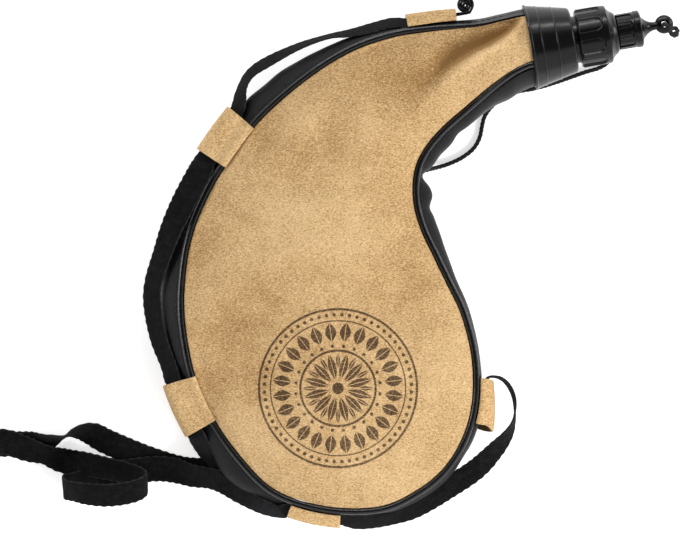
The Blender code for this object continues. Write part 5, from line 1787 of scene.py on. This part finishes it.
def orient_from(obj, plan):
    """Turns an open skin so that it faces away from the bag's spine."""
    mesh = obj.data
    spine = np.array([tuple(p) for p in plan.spine])
    total = 0.0
    for p in mesh.polygons:
        gaps = spine - np.array(p.center[:2])
        foot = spine[int(np.argmin(np.linalg.norm(gaps, axis=1)))]
        away = Vector((p.center.x - foot[0], p.center.y - foot[1], 0.0))
        total += p.normal.dot(away) * p.area
    if total < 0:
        mesh.flip_normals()
    return obj


def relaxed(line, rounds):
    """A line with its corners eased, except near its two ends."""
    line = line.copy()
    for _ in range(rounds):
        line[3:-3] = 0.5 * line[3:-3] + 0.25 * (line[2:-4] + line[4:-2])
    return line


def keeper_reach(strap, over_piping):
    """Inner face of a keeper, counted from the seam."""
    return (strap.long_reach if over_piping else strap.short_reach) - strap.keeper_leather


def keeper_section(plan, strap, station, over_piping):
    """Inner face of a keeper: from the front piping round the strap to the back piping."""
    bag = plan.bag
    wide = keeper_reach(strap, over_piping)
    thick = strap.strap_thickness
    rise = strap.strap_width / 2 + 2 * bag.clearance
    edge = bag.piping_radius + bag.clearance
    around = bag.piping_radius + 2 * bag.clearance
    upper = [(wide - 3 * thick, rise + 2 * thick), (wide - thick / 2, rise + thick / 2), (wide, 0.55 * rise)]
    lower = [(outwards, -height) for outwards, height in upper[::-1]]
    start = [(2 * edge + 2 * bag.clearance, -bag.leather)]
    if over_piping:
        angles = [math.radians(angle) for angle in (135, 110, 90, 65, 45, 20, 0)]
        start = [(edge + around * math.cos(a), around * math.sin(a) - bag.leather / 2) for a in angles]
    front = [station.beside(a, station.front_height + z) for a, z in start]
    sides = [station.beside(a, station.middle_height + z) for a, z in upper + lower]
    back = [station.beside(a, station.back_height - z, back=True) for a, z in start[::-1]]
    return np.vstack([*front[:-1], smooth_rows([front[-1], *sides], 3), back])


def flat_share_point(plan, x, y, height):
    return np.array((*plan.place(x, y), height * plan.bag.belly_top))


def free_stretch(plan, shares):
    return [(flat_share_point(plan, x, y, height), turning) for x, y, height, turning in shares]


def through_keeper(plan, strap, name, ahead=(-1.0, 0.0, 1.0), turns=(1.0, 1.0, 1.0)):
    """Strap places inside one keeper, on edge halfway between the gusset and the keeper.

    Where the strap already leans at the keeper's ends, it stands higher and nearer to the bag.
    """
    middle, over_piping = KEEPER_SHARES[name]
    half = strap.keeper_width / 2 / plan.seam_length
    wide = keeper_reach(strap, over_piping)
    found = []
    for offset, turning in zip(ahead, turns):
        station = Station(plan, middle + offset * half)
        least = max(station.reach, 2 * (plan.bag.piping_radius + plan.bag.clearance))
        outwards = max(mix(wide, least, 0.55), wide - 2 * strap.strap_thickness)
        leaning = 1 - turning
        place = station.beside(outwards - LEANS_IN * leaning, station.middle_height + LEANS_UP * leaning)
        found.append((place, turning))
    return found


def rolled_end(plan, strap):
    """The strap's end rolled up beside the top keeper, unwound into it."""
    entry, _ = through_keeper(plan, strap, "keeper_top", (-1.0,))[0]
    centre = entry + np.array((*ROLL_PLACE_SHARES, 0.0)) * strap.roll_radius
    made = []
    for share in np.linspace(0, 1, 28):
        radius = mix(strap.roll_core, strap.roll_radius, share)
        angle = -math.pi / 2 + 2 * math.pi * ROLL_TURNS * (1 - share)
        made.append((centre + np.array((math.cos(angle), math.sin(angle), 0.0)) * radius, 1.0))
    return made


def curl(plan):
    """The loose loop in the lower strand, which stands up and leans over."""
    across = np.array((plan.sin, plan.cos, 0.0))
    made = []
    for x, y, height, lean in CURL_SHARES:
        angle = lean * math.pi / 2
        width = across * math.cos(angle) + np.array((0.0, 0.0, math.sin(angle)))
        made.append((flat_share_point(plan, x, y, height), width))
    return made


def strap_width_direction(way, turning):
    """Across the strap: level at turn 0, upright at 1, for a strap that runs along the given way."""
    level = unit(np.array((-way[1], way[0], 0.0)))
    angle = turning * math.pi / 2
    direction = level * math.cos(angle) + np.array((0.0, 0.0, math.sin(angle)))
    return unit(direction - way * (direction @ way))


def strap_fold(plan, strap):
    """The strap's far end, turned over itself."""
    lead = flat_share_point(plan, *FOLD_SHARES[-1][:3])
    away = np.array((-plan.cos, plan.sin, 0.0))
    across = np.array((plan.sin, plan.cos, 0.0))
    size = strap.strap_thickness * 3
    places = ((1.8, 0.15), (2.9, 0.65), (3.3, 1.35), (2.8, 1.95), (1.5, 1.95))
    return [(lead + away * size * out + np.array((0, 0, size * up)), across) for out, up in places]


def strap_route(plan, strap):
    """Every place of the strap with its turn or its width direction."""
    route = rolled_end(plan, strap)
    route += through_keeper(plan, strap, "keeper_top", turns=(1.0, 1.0, 0.75))[1:]
    route += free_stretch(plan, TOP_STRETCH_SHARES)
    route += through_keeper(plan, strap, "keeper_upper_left", turns=(0.62, 1.0, 0.50))
    route += free_stretch(plan, LEFT_STRETCH_SHARES)
    route += through_keeper(plan, strap, "keeper_lower_left", turns=(0.58, 1.0, 0.60))
    route += free_stretch(plan, UPPER_STRAND_SHARES)
    route += free_stretch(plan, FOLD_SHARES) + strap_fold(plan, strap)
    route += free_stretch(plan, FOLD_RETURN_SHARES)
    route += free_stretch(plan, CURL_START_SHARES) + curl(plan)
    route += free_stretch(plan, LOWER_STRAND_SHARES)
    route += through_keeper(plan, strap, "keeper_bottom", turns=(0.68, 0.85, 0.64))
    route += free_stretch(plan, RIGHT_STRETCH_SHARES)
    route += through_keeper(plan, strap, "keeper_right", (0.82, 0.3, -0.3))
    return route


class BOTA_OT_strap(BotaMaker, bpy.types.Operator):
    """Runs the black webbing strap through the keepers and along the floor"""

    bl_idname = "bota.make_strap"
    bl_label = "Webbing strap"

    def make(self, scene, plan):
        strap = scene.bota_strap
        route = strap_route(plan, strap)
        centres = np.array([place for place, _ in route])
        ways = unit(np.gradient(centres, axis=0))
        widths = []
        for (_, turning), way in zip(route, ways):
            if isinstance(turning, np.ndarray):
                across = unit(turning - way * (turning @ way))
            else:
                across = strap_width_direction(way, turning)
            if widths and across @ widths[-1] < 0:
                across = -across
            widths.append(across)
        line = even_rows(smooth_rows(np.hstack([centres, np.array(widths)]), 16), 0.0010)
        middle, across = line[:, :3], unit(line[:, 3:])
        ways = unit(np.gradient(middle, axis=0))
        across = unit(across - ways * np.sum(across * ways, axis=1, keepdims=True))
        flat = np.cross(ways, across)
        run = lengths_along(middle)
        loops = 0.5 - 0.5 * np.cos(2 * math.pi * run / strap.edge_pitch)
        jitter = ripple([(s, 0.0, 0.0) for s in run], 0.009, 7.0)
        rows, uvs = [], []
        corner = np.linspace(0, 2 * math.pi, 20, endpoint=False)
        side = np.sign(np.cos(corner)) * np.abs(np.cos(corner)) ** 0.35
        lift = np.sign(np.sin(corner)) * np.abs(np.sin(corner)) ** 0.75
        for i in range(len(middle)):
            half = strap.strap_width / 2 - strap.edge_depth * (1 - loops[i]) - 0.12 * MM * abs(jitter[i])
            thick = lift * strap.strap_thickness / 2
            rows.append(middle[i] + across[i] * (side * half)[:, None] + flat[i] * thick[:, None])
            uvs.append(np.stack((side * half, np.full(len(side), run[i])), axis=1))
        mesh = grid_mesh("strap_webbing", rows, loop_columns=True, caps=True, uvs=uvs)
        remade(mesh, lambda built: bmesh.ops.recalc_face_normals(built, faces=built.faces))
        webbing = shaded(add_piece("strap_webbing", mesh, finish("black webbing")), 70)
        carry(webbing, "bag", "black_webbing", *STRAP_PIECES)


class BOTA_OT_neck(BotaMaker, bpy.types.Operator):
    """Makes the tapered collar, the threaded tube inside it and the flat gasket"""

    bl_idname = "bota.make_neck"
    bl_label = "Collar, tube and gasket"

    def make(self, scene, plan):
        bag, mouth = plan.bag, plan.mouth
        clear = bag.clearance
        marks = mouthpiece_marks(plan)

        def outer(along):
            return mouth.collar_radius - plan.collar_slope * along

        def inner(along):
            return plan.neck_radius_at(along) + 1.4 * clear

        end = mouth.collar_length
        front = end - mouth.collar_front_wall
        hole = mouth.tube_radius + mouth.thread_room
        edge = mouth.collar_front_wall / 3
        ridge = mouth.collar_ridge
        profile = [
            (end, hole),
            *((end - depth, hole + out) for depth, out in COLLAR_GROOVE),
            (end, outer(end) - edge),
            (end - edge / 3, outer(end) - edge / 3),
            (end - edge, outer(end - edge)),
        ]
        for share in (0.6, 0.26):
            at = end * share
            profile += [
                (at + ridge, outer(at + ridge)),
                (at + 0.25 * ridge, outer(at) + ridge),
                (at - 0.25 * ridge, outer(at) + ridge),
                (at - ridge, outer(at - ridge)),
            ]
        profile += [
            (mouth.collar_rim + ridge, outer(mouth.collar_rim)),
            (mouth.collar_rim, outer(0) + ridge),
            (0.0, outer(0) + ridge),
            (0.0, inner(0)),
            (front, inner(front)),
            (front, hole),
        ]
        profile = rounded(profile, SOFT_EDGE)
        collar = turned_piece(plan, "neck_collar_moulding", profile, "black plastic", 144)
        carry(collar, "bag", "black_plastic", "neck_collar")

        stack = bag.leather + bag.bladder_wall + 2 * clear
        within = stack + 2.5 * bag.bladder_wall + 2 * clear
        front -= clear
        seat = mouth.tuck + clear
        profile = [
            (marks["tube_end"], mouth.tube_bore),
            (marks["tube_end"], mouth.tube_radius),
            (front, mouth.tube_radius),
            (front, inner(front) - clear),
            (seat, inner(seat) - clear),
            (seat, plan.neck_radius_at(seat) - within),
            (0.0, plan.neck_radius_at(0) - within),
            (-mouth.tube_foot, plan.neck_radius_at(0) - within),
            (-mouth.tube_foot, mouth.tube_bore),
        ]
        profile = rounded(profile, FINE_EDGE)
        tube = turned_piece(plan, "neck_tube_moulding", profile, "black plastic")
        carry(tube, "bag", "black_plastic", "neck_tube")
        first, last = mouth.collar_length + TUBE_THREAD_ENDS[0], marks["tube_end"] - TUBE_THREAD_ENDS[1]
        thread = screw_thread(plan, "neck_tube_thread", first, last, mouth.tube_radius, mouth.filler_pitch)
        carry(thread, "bag", "black_plastic")
        start = marks["tube_end"] + clear
        profile = [
            (start + mouth.gasket, mouth.tube_bore),
            (start + mouth.gasket, mouth.tube_radius),
            (start, mouth.tube_radius),
            (start, mouth.tube_bore),
        ]
        gasket = turned_piece(plan, "filler_gasket_ring", profile, "black rubber")
        carry(gasket, "filler_lift", "black_rubber", "filler_gasket")


def screw_thread(plan, name, start, end, radius, pitch):
    """A thread's ridge about the mouthpiece's axis, sunk halfway in the tube it stands on."""
    values = {"Turns": (end - start) / pitch, "Radius": radius, "Pitch": pitch}
    values |= {"Ridge": THREAD_RIDGE, "Steps": 64}
    guide = line_mesh("thread_line", [(0.0, 0.0, 0.0), (0.0, 0.0, MM)])
    made = grown(name, guide, thread_tree(), values, "black plastic")
    stand = Matrix(((0, 0, 1, 0), (0, 1, 0, 0), (-1, 0, 0, 0), (0, 0, 0, 1)))
    place = Matrix.Translation((plan.neck_centre[0] + start, plan.neck_centre[1], plan.mouth.axis_height))
    made.data.transform(place @ stand)
    face_outwards(made.data)
    return made


def grip_press(barrel, start, recess, count):
    """Presses flat-bottomed grip recesses, open at the start and round at the other end, into a barrel."""
    width, reach, depth, soft = recess
    half = width / 2

    def press(along, radius, angles):
        if radius < barrel - BARREL_ROUNDING:
            return np.full(len(angles), radius)
        step = 2 * math.pi / count
        across = np.abs((angles / step) % 1.0 - 0.5) * step * radius
        past = max(along - (start + reach - half), 0.0)
        gap = np.hypot(across, past) - half
        share = 1 - smooth_step(-soft, 0.0, gap)
        lip = 0.12 * depth * np.exp(-((gap - 0.25 * soft) / (0.6 * soft)) ** 2)
        return radius - depth * share + lip

    return press


def fine_barrel(start, end, radius, spacing):
    """Profile points from the end back to the start of a barrel."""
    count = max(int((end - start) / spacing), 2)
    return [(along, radius) for along in np.linspace(end, start, count)]


class BOTA_OT_filler_cap(BotaMaker, bpy.types.Operator):
    """Makes the big screw cap with its finger recesses, shoulder and threaded nozzle"""

    bl_idname = "bota.make_filler_cap"
    bl_label = "Filler cap"

    def make(self, scene, plan):
        mouth = plan.mouth
        marks = mouthpiece_marks(plan)
        bore = mouth.tube_radius + mouth.thread_room
        tip = mouth.nozzle_radius - mouth.nozzle_bore
        top, shoulder = marks["filler_top"], marks["shoulder_top"]
        edge, radius, nozzle = mouth.filler_edge, mouth.filler_radius, marks["nozzle_tip"]
        start = marks["filler_start"]
        upper = [
            (nozzle, mouth.drink_hole),
            (nozzle, mouth.nozzle_bore + mouth.drink_hole / 2),
            (nozzle - tip / 2, mouth.nozzle_radius - tip / 4),
            (nozzle - tip, mouth.nozzle_radius),
            (shoulder, mouth.nozzle_radius),
            (shoulder, mouth.shoulder_radius - edge),
            (shoulder - edge, mouth.shoulder_radius),
            (top + mouth.shoulder_length * 0.4, mix(mouth.shoulder_radius, radius, 0.22)),
            (top, mix(mouth.shoulder_radius, radius, 0.66)),
            (top - edge * 0.4, radius - edge * 0.4),
            (top - 1.6 * edge, radius),
        ]
        lower = [
            (start + edge, radius),
            (start, radius - edge),
            (start, bore),
            (marks["filler_face"], bore),
            (marks["filler_face"], 2 * mouth.nozzle_bore),
            (shoulder, mouth.nozzle_bore),
            (nozzle - tip / 2, mouth.nozzle_bore),
            (nozzle - tip / 4, mouth.drink_hole),
        ]
        barrel = fine_barrel(start + 1.2 * edge, top - 1.9 * edge, radius, FILLER_ROWS)
        profile = rounded(upper, CAP_EDGE)[:-1] + barrel + rounded(lower, FINE_EDGE)[1:]
        press = grip_press(radius, start, FILLER_RECESS, mouth.filler_recesses)
        cap = turned_piece(plan, "filler_cap_moulding", profile, "black plastic", 420, press=press)
        carry(cap, "filler_cap", "black_plastic", "filler_cap")
        first, last = shoulder + NOZZLE_THREAD_ENDS[0], nozzle - tip - NOZZLE_THREAD_ENDS[1]
        thread = screw_thread(plan, "nozzle_thread", first, last, mouth.nozzle_radius, mouth.cap_pitch)
        carry(thread, "filler_cap", "black_plastic")


class BOTA_OT_spout_cap(BotaMaker, bpy.types.Operator):
    """Makes the spout cap with its finial and eyelet ball, and the seal inside it"""

    bl_idname = "bota.make_spout_cap"
    bl_label = "Spout cap and seal"

    def make(self, scene, plan):
        mouth, clear = plan.mouth, plan.bag.clearance
        marks = mouthpiece_marks(plan)
        bore = mouth.nozzle_radius + mouth.thread_room
        radius = mouth.cap_radius
        flange = radius + mouth.cap_flange_proud
        edge = mouth.cap_flange / 4
        start, top = marks["cap_start"], marks["cap_top"]
        shoulder = top - mouth.cap_flange - mouth.cap_flange_proud
        ball = ball_centre(plan)
        ball_along = ball[0] - plan.neck_centre[0]
        flare = [
            (top + mouth.finial_length * share, mix(mouth.finial_neck, mouth.finial_base, (1 - share) ** 2.6))
            for share in np.linspace(1, 0, 15)
        ]
        upper = [
            (top - edge * 0.05, flange - 1.6 * edge),
            (top - edge * 0.30, flange - edge),
            (top - edge, flange),
            (top - mouth.cap_flange, flange),
            (shoulder, radius),
        ]
        barrel = fine_barrel(start + edge, shoulder - mouth.cap_flange_proud, radius, CAP_ROWS)
        lower = [
            (start + edge / 2, radius),
            (start, radius - edge / 2),
            (start, bore),
            (marks["cap_face"], bore),
            (marks["cap_face"], 0.0),
        ]
        end = ball_along - mouth.ball_radius / 3
        profile = [(end, 0.0), (end, mouth.finial_neck)] + flare
        profile += rounded(upper, FINE_EDGE) + barrel + rounded(lower, FINE_EDGE)
        press = grip_press(radius, start, CAP_RECESS, mouth.cap_recesses)

        def press_barrel(along, at, angles):
            if along > shoulder or at > radius + MERGE:
                return np.full(len(angles), at)
            return press(along, at, angles)

        name = "spout_cap_moulding"
        cap = turned_piece(plan, name, profile, "black plastic", 300, False, press_barrel)
        self.join_ball(cap, plan, ball)
        carry(cap, "spout_cap", "black_plastic", "spout_cap")
        begin = marks["nozzle_tip"] + clear
        profile = [
            (begin + mouth.seal, 0.0),
            (begin + mouth.seal, mouth.nozzle_radius),
            (begin, mouth.nozzle_radius),
            (begin, 0.0),
        ]
        seal = turned_piece(plan, "cap_seal_disc", profile, "black rubber", closed=False)
        carry(seal, "cap_lift", "black_rubber", "cap_seal")

    def join_ball(self, cap, plan, ball):
        """Joins the flattened ball with its round-edged eye to the finial."""
        mouth = plan.mouth
        eye, out, half = mouth.eye_radius, mouth.ball_radius, mouth.ball_thickness / 2
        first = math.asin(min(eye * 1.45 / out, 1.0))
        turns = np.linspace(first, math.pi - first, 17)
        section = [(half * math.cos(angle), out * math.sin(angle)) for angle in turns]
        top = section[0][0]
        section += [(-top * share, eye + 0.45 * eye * share**4) for share in np.linspace(0.96, -0.96, 11)]
        angles = np.linspace(0, 2 * math.pi, 48, endpoint=False)
        rows = [
            np.stack((r * np.cos(angles), r * np.sin(angles), np.full(48, z)), axis=1) + ball
            for z, r in section
        ]
        mesh = face_outwards(grid_mesh("eyelet_ball", rows, loop_rows=True, loop_columns=True))
        eyelet = add_piece("eyelet_ball", mesh, finish("black plastic"))
        union = cap.modifiers.new("Union", "BOOLEAN")
        union.object = eyelet
        union.operation = "UNION"
        union.solver = "EXACT"
        whole = evaluated_mesh(cap)
        cap.modifiers.remove(union)
        old = cap.data
        cap.data = whole
        bpy.data.meshes.remove(old)
        bpy.data.objects.remove(eyelet, do_unlink=True)
        whole.materials.clear()
        whole.materials.append(finish("black plastic"))
        shaded(cap, 40)


OPERATORS = (
    BOTA_OT_stage,
    BOTA_OT_tether,
    BOTA_OT_panels,
    BOTA_OT_bladder,
    BOTA_OT_gusset,
    BOTA_OT_keepers,
    BOTA_OT_strap,
    BOTA_OT_neck,
    BOTA_OT_filler_cap,
    BOTA_OT_spout_cap,
)
GROUPS = {
    "bota_bag": BotaBagSizes,
    "bota_mouth": BotaMouthSizes,
    "bota_strap": BotaStrapSizes,
    "bota_finishes": BotaFinishes,
    "bota_stage": BotaStageSizes,
}


class BOTA_PT_panel(bpy.types.Panel):
    """Lists the bag's steps and sizes"""

    bl_idname = "BOTA_PT_panel"
    bl_label = "Bota bag"
    bl_space_type = "VIEW_3D"
    bl_region_type = "UI"
    bl_category = "Bota Bag"

    def draw(self, context):
        for operator in OPERATORS:
            self.layout.operator(operator.bl_idname)
        for name, group in GROUPS.items():
            box = self.layout.box()
            for key in group.__annotations__:
                box.prop(getattr(context.scene, name), key)


def register():
    for name, group in GROUPS.items():
        bpy.utils.register_class(group)
        setattr(bpy.types.Scene, name, PointerProperty(type=group))
    for item in (*OPERATORS, BOTA_PT_panel):
        bpy.utils.register_class(item)


def unregister():
    for item in (BOTA_PT_panel, *reversed(OPERATORS)):
        bpy.utils.unregister_class(item)
    for name, group in reversed(GROUPS.items()):
        delattr(bpy.types.Scene, name)
        bpy.utils.unregister_class(group)


def main():
    register()
    for operator in OPERATORS:
        group, name = operator.bl_idname.split(".")
        getattr(getattr(bpy.ops, group), name)()
    sizes = {"cad": CAD_BOUNDS, "visual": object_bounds()}
    sizes = {key: [list(corner) for corner in corners] for key, corners in sizes.items()}


if __name__ == "__main__":
    main()
